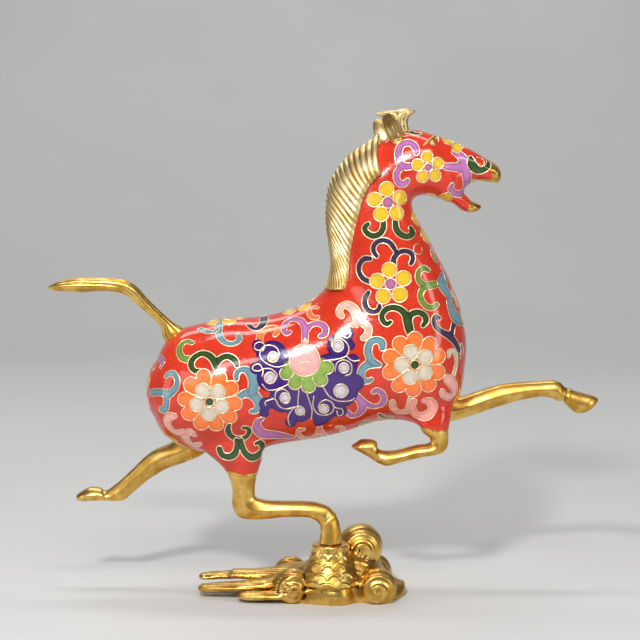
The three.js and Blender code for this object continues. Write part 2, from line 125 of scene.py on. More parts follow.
# %% [markdown]
# ## Shader maths as plain expressions
# A material is a small program made of nodes. Writing `1 - mask` is easier to read than placing a
# Math node by hand, so a small class wraps a socket and turns each operator into its node. Numbers
# use Math nodes, and colours use Mix nodes, because a Math node turns a colour grey.

# %% A class that wraps a socket
class Wire:
    """A socket of a node tree, used in ordinary arithmetic."""

    def __init__(self, tree, socket):
        self.tree = tree
        self.socket = socket

    def node(self, kind, settings=None, out=0, **inputs):
        """Makes a node: settings first, then inputs by their names, or by i and their numbers."""
        made = self.tree.nodes.new(kind)
        for key, value in (settings or {}).items():
            setattr(made, key, value)
        for key, value in inputs.items():
            index = int(key[1:]) if key[0] == "i" and key[1:].isdigit() else key.replace("_", " ")
            socket = made.inputs[index]
            if isinstance(value, Wire):
                self.tree.links.new(value.socket, socket)
            else:
                socket.default_value = value
        return Wire(self.tree, made.outputs[out])

    def math(self, operation, *values):
        inputs = {f"i{k}": value for k, value in enumerate(values)}
        return self.node("ShaderNodeMath", {"operation": operation}, **inputs)

    def __add__(self, other):
        return self.math("ADD", self, other)

    def __radd__(self, other):
        return self.math("ADD", other, self)

    def __sub__(self, other):
        return self.math("SUBTRACT", self, other)

    def __rsub__(self, other):
        return self.math("SUBTRACT", other, self)

    def __mul__(self, other):
        return self.math("MULTIPLY", self, other)

    def __rmul__(self, other):
        return self.math("MULTIPLY", other, self)

    def between(self, low, high, start=0.0, end=1.0):
        """Where this value goes from low to high, the result goes smoothly from start to end."""
        settings = {"interpolation_type": "SMOOTHSTEP"}
        return self.node("ShaderNodeMapRange", settings, i0=self, i1=low, i2=high, i3=start, i4=end)

    def mix(self, start, end):
        """A colour that goes from start to end as this value goes from 0 to 1."""
        return self.node("ShaderNodeMix", {"data_type": "RGBA"}, out=2, i0=self, i6=start, i7=end)


def start_material(name):
    """A new material, its shader, and a wire with the place on the object."""
    material = bpy.data.materials.new(name)
    material.use_nodes = True
    tree = material.node_tree
    shader = tree.nodes["Principled BSDF"]
    place = Wire(tree, tree.nodes.new("ShaderNodeTexCoord").outputs["Object"])
    return material, shader, place


def noise(place, scale, detail=2.0):
    return place.node("ShaderNodeTexNoise", Vector=place, Scale=scale, Detail=detail)


def stored(place, name):
    """A number that the points of a mesh carry."""
    return place.node("ShaderNodeAttribute", {"attribute_name": name}, out=2)


def pits(place, density, spread, smallest, largest):
    """1 in the small round pits of a polished surface, which come and go in patches."""
    cell = place.node("ShaderNodeTexVoronoi", {"feature": "F1"}, Vector=place, Scale=density)
    size = noise(place, spread).between(0.55, 0.75, smallest, largest)
    return cell.math("LESS_THAN", cell, size)


def feed(shader, **links):
    """Links wires to a shader's sockets, by their names."""
    for name, value in links.items():
        shader.id_data.links.new(value.socket, shader.inputs[name.replace("_", " ")])


def linear(red, green, blue):
    """The linear colour of a screen colour given from 0 to 255."""
    shares = [level / 255 for level in (red, green, blue)]
    values = [s / 12.92 if s <= 0.04045 else ((s + 0.055) / 1.055) ** 2.4 for s in shares]
    return (*values, 1.0)


print("half of white on the screen is", round(linear(128, 128, 128)[0], 3), "of white in light")

# %% [markdown]
# ## The floor
# The floor is a plain pale sheet that isn't part of the object. As in a photographer's studio it
# curves up behind the object, so no edge shows between floor and wall.

# %% Make the floor
FLOOR_EDGES = (-2200, 2200)  # mm, to the left and right
FLOOR_FRONT = -1500  # mm
FLOOR_BACK = 700  # mm, where the floor starts to curve up
SWEEP_RADIUS = 500  # mm
WALL_HEIGHT = 1900  # mm
FLOOR_SHADES = ((0.6, 0.6, 0.59, 1), (0.63, 0.63, 0.62, 1))


def floor_rows():
    turn = np.linspace(0, math.pi / 2, 25)
    curve = np.stack([FLOOR_BACK + SWEEP_RADIUS * np.sin(turn), SWEEP_RADIUS * (1 - np.cos(turn))], -1)
    return [(FLOOR_FRONT, 0), *curve.tolist(), (FLOOR_BACK + SWEEP_RADIUS, WALL_HEIGHT)]


rows = floor_rows()
floor_mesh = bpy.data.meshes.new("floor")
floor_points = [(x * MM, y * MM, z * MM) for y, z in rows for x in FLOOR_EDGES]
floor_faces = [(2 * k, 2 * k + 1, 2 * k + 3, 2 * k + 2) for k in range(len(rows) - 1)]
floor_mesh.from_pydata(floor_points, [], floor_faces)
floor_mesh.polygons.foreach_set("use_smooth", [True] * len(floor_faces))
floor = bpy.data.objects.new("floor", floor_mesh)
bpy.context.scene.collection.objects.link(floor)
floor_material, floor_shader, floor_place = start_material("pale_floor")
floor_grain = noise(floor_place, 6.0, 3.0)
feed(floor_shader, Base_Color=floor_grain.between(0.3, 0.7).mix(*FLOOR_SHADES))
floor_shader.inputs["Roughness"].default_value = 0.7
floor_mesh.materials.append(floor_material)
print("floor rises", WALL_HEIGHT, "mm behind the object")

# %% [markdown]
# ## Forms drawn like a ship's hull
# A casting such as a leg changes its section all the way along. A shipwright draws such a form as a
# row of cross-sections and lets a smooth skin pass through them; this is called a loft. Each row
# below gives the upper and lower edge of one section in the side view and half its width. A half
# width of 0 is a point that closes the end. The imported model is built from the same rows, so the
# finer skins made here lie where its solids lie.

# %% The plans
BODY_PLAN = [
    [-63, 85, -63, 85, 0],
    [-61.4, 92.8, -62.2, 77.7, 9],
    [-58.6, 97.7, -60, 73.2, 13.5],
    [-55.3, 103.8, -56.2, 67, 18],
    [-49.3, 108.9, -50.1, 63.4, 21.3],
    [-41.2, 111.3, -41.2, 60, 23.3],
    [-31.1, 113.6, -31.1, 61, 24],
    [-19, 114, -19, 62.3, 24.3],
    [-6.9, 116.4, -6.9, 63.1, 24.3],
    [0.4, 119.3, 4.4, 64.3, 24],
    [5.7, 122.5, 17.4, 67.2, 23.6],
    [8.9, 125.4, 29.5, 71.2, 23.2],
    [10.9, 128.6, 40.8, 72.4, 22.8],
    [12.5, 132.3, 51.7, 71.6, 22.2],
    [13.3, 136.3, 63.8, 80, 21.4],
    [13.3, 140.8, 66.3, 94.4, 20.4],
    [12.9, 145.3, 66.3, 106.6, 19.2],
    [12.5, 150.2, 63.4, 119.7, 17.8],
    [12.5, 155.5, 58.2, 132.3, 16],
    [12.9, 160.8, 53.3, 141.6, 14.4],
    [14.1, 166.5, 48.5, 150.2, 13],
    [17, 172.2, 45.2, 156.7, 12],
    [21.6, 177.5, 44.4, 160.4, 11.3],
    [28, 181.8, 46.1, 162.4, 11],
    [34.9, 186.6, 49.3, 163, 10.9],
    [41.6, 189.5, 52.9, 162.4, 10.6],
    [47.7, 189, 56.6, 161, 10],
    [53.3, 187.2, 60.2, 159.8, 9],
    [58.6, 185.6, 63.4, 160.9, 8],
    [63.4, 183.7, 65.9, 166.2, 7],
    [67.9, 181.5, 69.5, 168.7, 6.4],
    [72.7, 178.6, 73.5, 168.4, 6.2],
    [76.4, 176.6, 76.8, 168, 5.7],
    [78.9, 174.6, 78.9, 168, 4.7],
    [80, 171.2, 80, 171.2, 0],
]
JAW_PLAN = [
    [49.7, 169.7, 51.7, 164.8, 4],
    [56.6, 168.1, 58.2, 160.9, 5.6],
    [62.2, 166, 61.8, 158.7, 5.6],
    [65, 164.3, 63.8, 157.1, 5],
    [67.9, 161.3, 66.7, 156.1, 4.4],
    [70.5, 160, 69.7, 156.3, 3.4],
    [72.2, 158.2, 72.2, 158.2, 0],
]
HIND_SLEEVE_PLAN = [
    [-44, 66, -11, 67, 7.8],
    [-40.6, 61.5, -14.8, 62, 7.5],
    [-35.6, 57.8, -15.8, 57.8, 7],
    [-32.2, 54.6, -16.9, 54.4, 6.4],
    [-30, 51.6, -17.8, 51.4, 5.9],
]
FORE_SLEEVE_PLAN = [
    [61.5, 80, 42.5, 80, 6.5, 1.5],
    [60.4, 76, 44, 75.5, 6.2, 1],
    [59.6, 72.5, 45.8, 72, 5.9, 0.4],
    [59.1, 69.6, 47.2, 69.6, 5.5, 0],
]
STANDING_LEG_PLAN = [
    [-29, 56, -18.8, 56, 5],
    [-30, 51.5, -17.8, 51.3, 5.9],
    [-28.9, 48.2, -18.3, 48, 5.2],
    [-28.3, 43.8, -18.6, 44.8, 4.8],
    [-28.3, 38.4, -18.2, 42.4, 4.6],
    [-25.5, 33.8, -16.4, 41.7, 4.5],
    [-18.3, 32.9, -12.8, 41, 4.3],
    [-6.7, 33.9, -6.3, 40.8, 4],
    [1.3, 33.9, 1.7, 40.6, 4],
    [4.8, 32.9, 6.5, 40, 4.1],
    [6.9, 30.7, 11.6, 37.9, 4.3],
    [7.3, 28.2, 14.8, 33.5, 4.5],
    [6.9, 25.9, 16.1, 28.7, 4.8],
    [6.5, 23.5, 16.5, 23.5, 5.4],
]
TRAILING_LEG_PLAN = [
    [-49.2, 64.2, -36.1, 59.3, 7],
    [-55.6, 60.1, -41.4, 55, 6.5],
    [-61.3, 57.7, -46.9, 52.6, 5.6],
    [-65.8, 54.2, -54.9, 49.8, 4.8],
    [-70.3, 49.6, -62.6, 45.3, 4.3],
    [-75.2, 45, -68, 40.9, 4],
    [-79.3, 41.8, -73.4, 36.4, 3.8],
    [-81.5, 40.5, -79, 36, 3.3],
    [-83.9, 41.8, -82.3, 36.2, 4],
    [-87.6, 42, -87.6, 36.1, 4.4],
    [-90.9, 40.4, -90.9, 36, 3.6],
    [-93.4, 37.6, -93.4, 37.6, 0],
]
REACHING_LEG_PLAN = [
    [53, 81.4, 47.4, 70.9, 7],
    [60.4, 80.7, 53, 68.3, 6.4],
    [65.7, 80.2, 61.2, 69.2, 5.8],
    [72.7, 82.5, 71.1, 72.1, 5.2],
    [80.9, 84.9, 79.7, 75.1, 4.6],
    [89.1, 85.9, 88.7, 77.8, 4.2],
    [97.3, 86.3, 97.3, 79.4, 3.9],
    [102.5, 86.7, 102.5, 78.8, 4.1],
    [105.8, 85.9, 105, 77.6, 4],
    [107.9, 83.9, 107, 77.6, 3.4],
    [112.3, 82.3, 109.1, 75.3, 4.2],
    [116.4, 81.2, 112.4, 72.7, 4.4],
    [120.2, 79.9, 116.8, 73.3, 3.7],
    [121.2, 77.1, 121.2, 77.1, 0],
]
FOLDED_LEG_PLAN = [
    [58.4, 73.5, 47.8, 73.5, 5],
    [59.1, 69.5, 47.4, 69.5, 5.4],
    [59.2, 65.1, 50.8, 66.7, 4.6],
    [58, 61.4, 51.2, 65.1, 4.4],
    [54.7, 59.6, 50, 64.1, 4.2],
    [47.2, 58.2, 45.6, 63.5, 3.9],
    [39.2, 56.1, 38, 61.6, 3.8],
    [34.4, 54.9, 33.2, 61.4, 4],
    [30.4, 56.1, 30.8, 62.2, 3.5],
    [27.7, 57.8, 29.6, 65.5, 4.2],
    [23.2, 60.6, 24.4, 65.9, 4.4],
    [20.8, 62, 21.6, 64.3, 3],
    [20, 63.1, 20, 63.1, 0],
]
TAIL_PLAN = [
    [-44.4, 103.8, -52.5, 99.7, 4],
    [-46.9, 108.7, -56.2, 105.4, 4],
    [-51.7, 111.7, -57, 109.5, 3.2],
    [-57.4, 116.6, -60.6, 113.6, 2.9],
    [-62.6, 121.9, -65.9, 118.4, 2.8],
    [-66.7, 126.4, -69.9, 121.7, 2.8],
    [-71.5, 129, -73.1, 123.5, 2.8],
    [-77.6, 129.8, -77.6, 124.3, 2.9],
    [-83.6, 130, -83.2, 124.3, 3.2],
    [-89.7, 130.2, -89.7, 123.9, 3.6],
    [-95.3, 129.2, -95.3, 124.3, 3],
    [-99.4, 127.8, -99.4, 124.7, 2],
    [-102.3, 125.8, -102.3, 125.8, 0],
]
FORWARD_LOCK_PLAN = [
    [36.2, 188.8, 43.4, 188.4, 3.2],
    [36.2, 193, 42.6, 191.6, 3.4],
    [36.8, 196.4, 42.8, 193.6, 3.3],
    [40, 197.7, 43.6, 195, 2.6],
    [43, 197.6, 44.6, 195.9, 1.6],
    [45.3, 196.8, 45.3, 196.8, 0],
]
BACKWARD_LOCK_PLAN = [
    [41.2, 188.8, 34.7, 188.4, 3],
    [40.8, 193.4, 35.1, 192.2, 3],
    [38.9, 196.9, 34.5, 193.6, 2.7],
    [35, 197, 32.4, 194.3, 2.2],
    [32, 196.5, 31, 194.9, 1.4],
    [29.4, 195.5, 29.4, 195.5, 0],
]
LEG_OFFSET = 11  # from the middle plane to each leg
print("longest plan has", len(BODY_PLAN), "sections")

# %% [markdown]
# Between two rows the section follows a smooth curve through the four nearest rows. Towards a point
# it follows a dome, so the end is round. The calculation runs on whole arrays at once, because a
# skin fine enough for enamel has tens of thousands of points.

# %% Sections and lofts
CAP_ANGLE = math.pi / 3  # how much of a dome closes a rounded end
MEASURES = 2000  # sections that are measured to space the rings evenly
TIP = 0.02  # rows that are left open at a pointed end


def smoothstep(value, low, high):
    t = np.clip((np.asarray(value, float) - low) / (high - low), 0, 1)
    return t * t * (3 - 2 * t)


def section_rows(plan):
    """Middle x, middle z, half height in x and z, half width and y of each row."""
    rows = []
    for upper_x, upper_z, lower_x, lower_z, half_width, *y in plan:
        middle = [(upper_x + lower_x) / 2, (upper_z + lower_z) / 2]
        halves = [(upper_x - lower_x) / 2, (upper_z - lower_z) / 2, half_width]
        rows.append(middle + halves + (y or [0]))
    return np.array(rows, float)


def dome(point, section, t):
    """Sections between a closing point and the first full section, where t goes from 0 to 1."""
    across = np.sin(CAP_ANGLE * t) / math.sin(CAP_ANGLE)
    along = (1 - np.cos(CAP_ANGLE * t)) / (1 - math.cos(CAP_ANGLE))
    share = np.stack([along, along, across, across, across, along], -1)
    return point + (section - point) * share


def sections(plan, u):
    """The sections at places u along a plan, where whole numbers are its rows."""
    rows = section_rows(plan)
    u = np.atleast_1d(np.asarray(u, float))
    last = len(rows) - 1
    i = np.clip(np.floor(u).astype(int), 0, last - 1)
    a, b, c, d = (rows[np.clip(i + k, 0, last)] for k in (-1, 0, 1, 2))
    t = (u - i)[..., None]
    made = b + 0.5 * t * (c - a + t * (2 * a - 5 * b + 4 * c - d + t * (3 * b - a - 3 * c + d)))
    if plan[0][4] == 0:
        first = i == 0
        made[first] = dome(rows[0], rows[1], u[first])
    if plan[-1][4] == 0:
        final = i == last - 1
        made[final] = dome(rows[-1], rows[-2], last - u[final])
    return made


def section_points(section, angle, lean=0.0):
    """Points at an angle: 0 is the upper edge and a quarter turn is the right side, at -y."""
    x, z, half_x, half_z, half_width, y = np.moveaxis(np.asarray(section), -1, 0)
    up = np.cos(angle)
    side = np.sin(angle) * (1 - lean * up)
    return np.stack([x + half_x * up, y - half_width * side, z + half_z * up], -1)


# %% Rings and lofts
def even_places(plan, count, ends):
    """Places along a plan that are evenly spaced in millimetres."""
    u = np.linspace(*ends, MEASURES)
    made = sections(plan, u)
    steps = []
    for sign in (1, -1):
        edge = made[:, :2] + sign * made[:, 2:4]
        steps.append(np.linalg.norm(np.diff(edge, axis=0), axis=1))
    width = np.abs(np.diff(made[:, 4]))
    length = np.concatenate([[0], np.cumsum(np.maximum(*steps) + width)])
    return np.interp(np.linspace(0, length[-1], count), length, u)


def skin(rings):
    """Rings of equally many points become a closed tube; each end is closed round its middle."""
    rings = np.asarray(rings)
    count, sides = rings.shape[:2]
    index = np.arange(count * sides).reshape(count, sides)
    turned = np.roll(index, -1, axis=1)
    quads = np.stack([index[:-1], turned[:-1], turned[1:], index[1:]], -1).reshape(-1, 4)
    points = np.concatenate([rings.reshape(-1, 3), rings[[0, -1]].mean(1)])
    start = [(b, a, count * sides) for a, b in zip(index[0], turned[0])]
    end = [(a, b, count * sides + 1) for a, b in zip(index[-1], turned[-1])]
    return points, [tuple(q) for q in quads.tolist()] + start + end


def facing_out(points, faces):
    """The same faces, all turned round if they enclose a negative volume."""
    volume = 0.0
    for face in faces:
        for k in range(1, len(face) - 1):
            a, b, c = points[face[0]], points[face[k]], points[face[k + 1]]
            volume += a[0] * (b[1] * c[2] - b[2] * c[1]) + a[1] * (b[2] * c[0] - b[0] * c[2])
            volume += a[2] * (b[0] * c[1] - b[1] * c[0])
    return faces if volume > 0 else [tuple(reversed(face)) for face in faces]


def loft(plan, sides, count, y=0.0, lean=None, swell=None, shape=None):
    """Points and faces of a closed form along a plan. Shape changes the radius by the angle."""
    last = len(plan) - 1
    ends = (TIP if plan[0][4] == 0 else 0, last - (TIP if plan[-1][4] == 0 else 0))
    u = even_places(plan, count, ends)
    angle = np.linspace(0, 2 * math.pi, sides, endpoint=False)
    made = sections(plan, u)
    made[:, 5] += y
    if shape is not None:
        made = np.repeat(made[:, None], sides, 1)
        made[..., 2:5] *= shape(u[:, None], angle[None])[..., None]
    else:
        made = made[:, None]
    rings = section_points(made, angle[None], 0.0 if lean is None else lean(u)[:, None])
    return skin(rings if swell is None else swell(rings))


print("the head is", round(2 * sections(BODY_PLAN, 25)[0, 4], 1), "mm wide at the brow")

# %% [markdown]
# Muscles swell the body near a point, by a push that fades with distance. They stand in mirrored
# pairs, and one more push for each leg draws the skin out to meet the casting.

# %% Muscles
# each push has its place, how far it reaches in mm, and how far it moves the skin in mm
MUSCLE_PAIRS = [
    ([-36, -22, 84], 15, [0, -2, 0]),  # haunch
    ([-3, -24, 88], 13, [0, 1.2, 0]),  # hollow of the flank
    ([44, -20, 94], 13, [0, -1.8, 0]),  # shoulder
    ([52, -9, 172], 6, [0, -1.4, 0]),  # cheek
    ([52, -7, 184], 4, [0, -1.1, 0.2]),  # brow
    ([57, 0, 76], 9, [-1.2, 0, 0]),  # dip between the forelegs
]
LEG_ROOTS = [
    ([-24, -LEG_OFFSET, 60], 9, [0.5, 0, -4]),
    ([-47, LEG_OFFSET, 65], 8, [-3, 0, -3.5]),
    ([52, -LEG_OFFSET, 73], 8, [0, 0, -2]),
    ([57, LEG_OFFSET, 77], 8, [2.5, 0, -1]),
]
ACROSS = np.array([1, -1, 1])  # mirrors a point to the other side


def swollen(points):
    swells = [(np.array(at), reach, np.array(push)) for at, reach, push in MUSCLE_PAIRS]
    swells += [(at * ACROSS, reach, push * ACROSS) for at, reach, push in swells]
    swells += [(np.array(at), reach, np.array(push)) for at, reach, push in LEG_ROOTS]
    moved = np.array(points, float)
    for at, reach, push in swells:
        fade = np.exp(-((points - at) ** 2).sum(-1) / (2 * reach * reach))
        moved += fade[..., None] * push
    return moved


def body_lean(u):
    """The neck is narrower at its crest, and the barrel a little fuller below."""
    return 0.06 + 0.2 * smoothstep(u, 10, 17) * (1 - smoothstep(u, 20, 25))


print(2 * len(MUSCLE_PAIRS) + len(LEG_ROOTS), "pushes shape the skin")

# %% [markdown]
# ## From points to a piece
# Every piece is made from a list of points and faces. It gets smooth shading, its material and the body
# it rides on, and the imported part that it stands for is hidden.

# %% Make a piece
def make_mesh(name, points, faces):
    mesh = bpy.data.meshes.new(name)
    mesh.from_pydata((np.asarray(points) * MM).tolist(), [], facing_out(points, faces))
    mesh.polygons.foreach_set("use_smooth", [True] * len(mesh.polygons))
    mesh.update()
    return mesh


def place_piece(name, mesh, material, node):
    piece = bpy.data.objects.new(name, mesh)
    bpy.context.scene.collection.objects.link(piece)
    mesh.materials.clear()
    mesh.materials.append(material)
    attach(piece, "root")
    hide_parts(node)
    triangles = sum(len(face.vertices) - 2 for face in mesh.polygons)
    print(name, "has", triangles, "triangles")
    return piece


def joined_mesh(name, meshes):
    """One mesh from several by Blender's exact Boolean."""
    objects = [bpy.data.objects.new(f"{name}_{k}", mesh) for k, mesh in enumerate(meshes)]
    for made in objects:
        bpy.context.scene.collection.objects.link(made)
    for other in objects[1:]:
        modifier = objects[0].modifiers.new("join", "BOOLEAN")
        modifier.operation = "UNION"
        modifier.solver = "EXACT"
        modifier.object = other
    graph = bpy.context.evaluated_depsgraph_get()
    result = bpy.data.meshes.new_from_object(objects[0].evaluated_get(graph))
    for made in objects:
        bpy.data.objects.remove(made)
    result.name = name
    return result


# %% [markdown]
# ## The skin of the body
# The trunk, neck and head are one loft, the lower jaw is a second one that opens the mouth, and two
# more are short sleeves over the near legs. An exact Boolean joins them into one closed skin, and the
# creases between them are rounded. The real body is beaten from copper sheet, and the enamel lies
# flush between wires, so the skin is drawn a hair lower than the wires' tops.

# %% Make the body's skin
BODY_GRID = (250, 350)  # sides and rings
JAW_GRID = (72, 70)
SLEEVE_GRID = (90, 44)
ENAMEL_DEPTH = 0.2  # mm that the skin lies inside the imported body's surface
NOSTRIL = [
    ([77.6, -4.6, 172.4], 1.5, [0.2, -0.5, 0.3]),  # rim
    ([78.5, -3.9, 172.2], 0.75, [-1.1, 0.9, -0.2]),  # hole
]
ON_FORM = 0.03  # mm within which a point counts as lying on a form
JAW_SEAM = (1.6, 12)  # mm that are rounded on each side of the crease, and smoothing passes
SLEEVE_SEAM = (6, 80)


def drawn_in(points, faces, distance):
    """The same form, a little smaller all round."""
    mesh = make_mesh("measure", points, faces)
    normals = np.array([v.normal for v in mesh.vertices])
    bpy.data.meshes.remove(mesh)
    return points - distance * normals


def trunk_skin():
    points, faces = loft(BODY_PLAN, *BODY_GRID, lean=body_lean, swell=swollen)
    faces = facing_out(points, faces)
    points = drawn_in(points, faces, ENAMEL_DEPTH)
    for at, reach, push in NOSTRIL:
        for side in (1, ACROSS):
            fade = np.exp(-((points - np.array(at) * side) ** 2).sum(-1) / (2 * reach * reach))
            points = points + fade[:, None] * np.array(push) * side
    return points, faces


def inner_form(name, plan, grid, y=0.0):
    """A loft drawn in by the depth of the enamel."""
    points, faces = loft(plan, *grid, y=y)
    faces = facing_out(points, faces)
    return make_mesh(name, drawn_in(points, faces, ENAMEL_DEPTH), faces)


# %% Read a mesh as arrays
def mesh_arrays(mesh):
    """The points of a mesh in millimetres, and their normals."""
    points = np.empty(len(mesh.vertices) * 3)
    mesh.vertices.foreach_get("co", points)
    normals = np.empty(len(mesh.vertices) * 3)
    mesh.vertices.foreach_get("normal", normals)
    return points.reshape(-1, 3) / MM, normals.reshape(-1, 3)


def mesh_tree(mesh):
    """A search tree that finds the nearest place on a mesh, or where a ray meets it."""
    points, _ = mesh_arrays(mesh)
    return BVHTree.FromPolygons(points.tolist(), [tuple(face.vertices) for face in mesh.polygons])


def edge_ends(mesh):
    edges = np.empty(len(mesh.edges) * 2, int)
    mesh.edges.foreach_get("vertices", edges)
    return edges.reshape(-1, 2).T


# %% Smooth the creases
def smoothed(points, ends, passes, share=0.5):
    """Points moved towards the average of their neighbours; share may differ from point to point."""
    a, b = ends
    count = np.maximum(np.bincount(np.concatenate([a, b]), minlength=len(points)), 1)[:, None]
    smooth = points.copy()
    for _ in range(passes):
        total = np.zeros_like(smooth)
        for here, there in ((a, b), (b, a)):
            for k in range(3):
                total[:, k] += np.bincount(here, smooth[there, k], len(points))
        smooth += share * (total / count - smooth)
    return smooth


def soften_seams(mesh, trees, reach, passes):
    """Rounds the crease where one form meets another, over a band on both sides of it."""
    points, _ = mesh_arrays(mesh)
    on_seam = np.ones(len(points), bool)
    for tree in trees:
        on_seam &= np.array([tree.find_nearest(Vector(p), ON_FORM)[0] is not None for p in points])
    seam = KDTree(int(on_seam.sum()))
    for k, p in enumerate(points[on_seam]):
        seam.insert(p, k)
    seam.balance()
    distance = np.array([seam.find(Vector(p))[2] for p in points])
    share = 0.5 * (1 - smoothstep(distance, reach * 0.4, reach))[:, None]
    points = smoothed(points, edge_ends(mesh), passes, share)
    mesh.vertices.foreach_set("co", (points * MM).ravel())
    mesh.update()


# %% Join the forms of the skin
def body_skin():
    trunk = make_mesh("trunk", *trunk_skin())
    jaw = inner_form("jaw", JAW_PLAN, JAW_GRID)
    sleeve_plans = (HIND_SLEEVE_PLAN, FORE_SLEEVE_PLAN)
    sleeves = [inner_form("sleeve", plan, SLEEVE_GRID, -LEG_OFFSET) for plan in sleeve_plans]
    trees = [mesh_tree(form) for form in (trunk, jaw, *sleeves)]
    mesh = joined_mesh("body_skin", [trunk, jaw, *sleeves])
    soften_seams(mesh, [trees[0], trees[1]], *JAW_SEAM)
    for tree in trees[2:]:
        soften_seams(mesh, [trees[0], tree], *SLEEVE_SEAM)
    mesh.polygons.foreach_set("use_smooth", [True] * len(mesh.polygons))
    return mesh


body_mesh = body_skin()
skin_points, skin_normals = mesh_arrays(body_mesh)
skin_tree = mesh_tree(body_mesh)
print("skin points", len(skin_points))

# %% [markdown]
# ## Laying a motif on the skin
# Each flower or scroll is small beside the curve of the body, so it can be drawn flat, on a plane
# that touches the skin at its middle, and pressed straight down. Its place is given by where it is
# seen from the camera, in pixels of a 640-pixel picture, and a ray finds the skin there. The same
# motif is laid on the other side of the horse by mirroring, as the makers of such pairs do.

# %% Working planes on the skin
PHOTO_MIDDLE = PHOTO_SIDE / 2
OUTLINE_Y = -4  # mm, the plane where a ray that passes beside the body ends
PRESS_FROM = 9  # mm above the plane
PRESS_DEPTH = 12  # mm below it


def seen(px, py):
    """The place on the near side of the skin that shows at a pixel of the picture."""
    ray = VIEW_AHEAD * DISTANCE / PIXEL + VIEW_RIGHT * (px - PHOTO_MIDDLE) + VIEW_UP * (PHOTO_MIDDLE - py)
    ray /= np.linalg.norm(ray)
    hit, normal, _, _ = skin_tree.ray_cast(Vector(CAMERA_PLACE), Vector(ray))
    if hit is None:
        beside = CAMERA_PLACE + ray * (OUTLINE_Y - CAMERA_PLACE[1]) / ray[1]
        hit, normal, _, _ = skin_tree.find_nearest(Vector(beside))
    return np.array(hit), np.array(normal)


def on_middle(u, angle):
    """A place on the middle line of the body, by its place along the plan."""
    point = section_points(sections(BODY_PLAN, u), angle, body_lean(u))[0]
    hit, normal, _, _ = skin_tree.find_nearest(Vector(swollen(point)))
    return np.array(hit), np.array(normal)


class Patch:
    """A plane that touches the skin at one place, with its own right and up."""

    def __init__(self, place):
        self.middle, self.normal = place
        self.right = VIEW_RIGHT - self.normal * self.normal[0]
        self.right /= np.linalg.norm(self.right)
        self.up = np.cross(self.normal, self.right)

    def flat(self, points):
        """Where points lie along the plane's right and up."""
        offset = np.asarray(points) - self.middle
        return np.stack([offset @ self.right, offset @ self.up], -1)

    def press(self, flat, side):
        """Presses flat points down onto the skin, on the near side (1) or the far one (-1)."""
        found = []
        turn = np.array([1, side, 1])
        for u, v in flat:
            above = self.middle + self.right * u + self.up * v + self.normal * PRESS_FROM
            start, ahead = Vector(above * turn), Vector(-self.normal * turn)
            hit, normal, _, _ = skin_tree.ray_cast(start, ahead, PRESS_FROM + PRESS_DEPTH)
            found.append(None if hit is None else (np.array(hit), np.array(normal)))
        return found


print("the middle of the barrel lies at", seen(305, 385)[0].round(1))

# %% [markdown]
# A cell of enamel is drawn here as a chain of overlapping discs: one disc is a dot or a petal, and a
# long chain with changing radii is a scroll or a bud. The depth of a place inside the chain is then
# simply the largest of radius minus distance, which is positive inside and negative outside. The
# wire round the cell follows the discs' common outline.

# %% Cells and their outlines
OUTLINE_STEP = 0.5  # mm between the points of an outline
HALO = 1.3  # mm round a cell where its colour is still stored
FAR = -9.0  # depth of a place that is far from a cell
FACING = 0.12  # least cosine between the skin's normal and the patch's where a cell is drawn
cells = []
extra_wires = []  # patches and lines of the wires that bound no cell


def evenly_spaced(line, step, fewest):
    """The same line through points at even steps, at least as many as the fewest."""
    length = np.concatenate([[0], np.cumsum(np.linalg.norm(np.diff(line, axis=0), axis=1))])
    places = np.linspace(0, length[-1], max(fewest, round(length[-1] / step)))
    return np.stack([np.interp(places, length, column) for column in line.T], -1)


def curve_through(knots, step):
    """Evenly spaced points on a smooth curve through a few knots."""
    knots = np.asarray(knots, float)
    padded = np.vstack([2 * knots[0] - knots[1], knots, 2 * knots[-1] - knots[-2]])
    t = np.linspace(0, 1, 24, endpoint=False)[:, None]
    spans = []
    for a, b, c, d in zip(padded, padded[1:], padded[2:], padded[3:]):
        spans.append(b + 0.5 * t * (c - a + t * (2 * a - 5 * b + 4 * c - d + t * (3 * b - a - 3 * c + d))))
    return evenly_spaced(np.vstack([*spans, knots[-1:]]), step, 3)


def circle(middle, radius):
    angle = np.linspace(0, 2 * math.pi, max(10, round(2 * math.pi * radius / OUTLINE_STEP)) + 1)
    return middle + radius * np.stack([np.cos(angle), np.sin(angle)], -1)


def chain_outline(centres, radii):
    """The closed line round a chain of discs along a curve."""
    along = np.gradient(centres, axis=0)
    length = np.linalg.norm(along, axis=1)
    along /= length[:, None]
    across = np.stack([-along[:, 1], along[:, 0]], -1)
    slope = np.clip(np.gradient(radii) / length, -0.95, 0.95)[:, None]
    out = radii[:, None] * np.sqrt(1 - slope**2) * across
    back = -radii[:, None] * slope * along
    left, right = centres + back + out, centres + back - out
    last = round_end(centres[-1], radii[-1], along[-1], across[-1])
    first = round_end(centres[0], radii[0], -along[0], -across[0])
    return np.vstack([left, last, right[::-1], first, left[:1]])


def round_end(middle, radius, ahead, across):
    """Five points round the end of a chain, between its two sides."""
    angle = np.linspace(math.pi / 2, -math.pi / 2, 7)[1:-1, None]
    return middle + radius * (np.cos(angle) * ahead + np.sin(angle) * across)


# %% Note the cells
def add_cell(patch, centres, radii, colours, outlines, group=None, once=False):
    """Notes a cell. It is drawn on both sides of the horse, unless once is set."""
    cells.append({
        "patch": patch,
        "centres": np.atleast_2d(centres),
        "radii": np.atleast_1d(np.asarray(radii, float)),
        "colours": colours,
        "outlines": outlines,
        "group": len(cells) if group is None else group,
        "once": once,
    })


def sides_of(cell):
    """The sides of the horse that a cell is drawn on: the near one (1) and the far one (-1)."""
    return (1,) if cell["once"] else (1, -1)


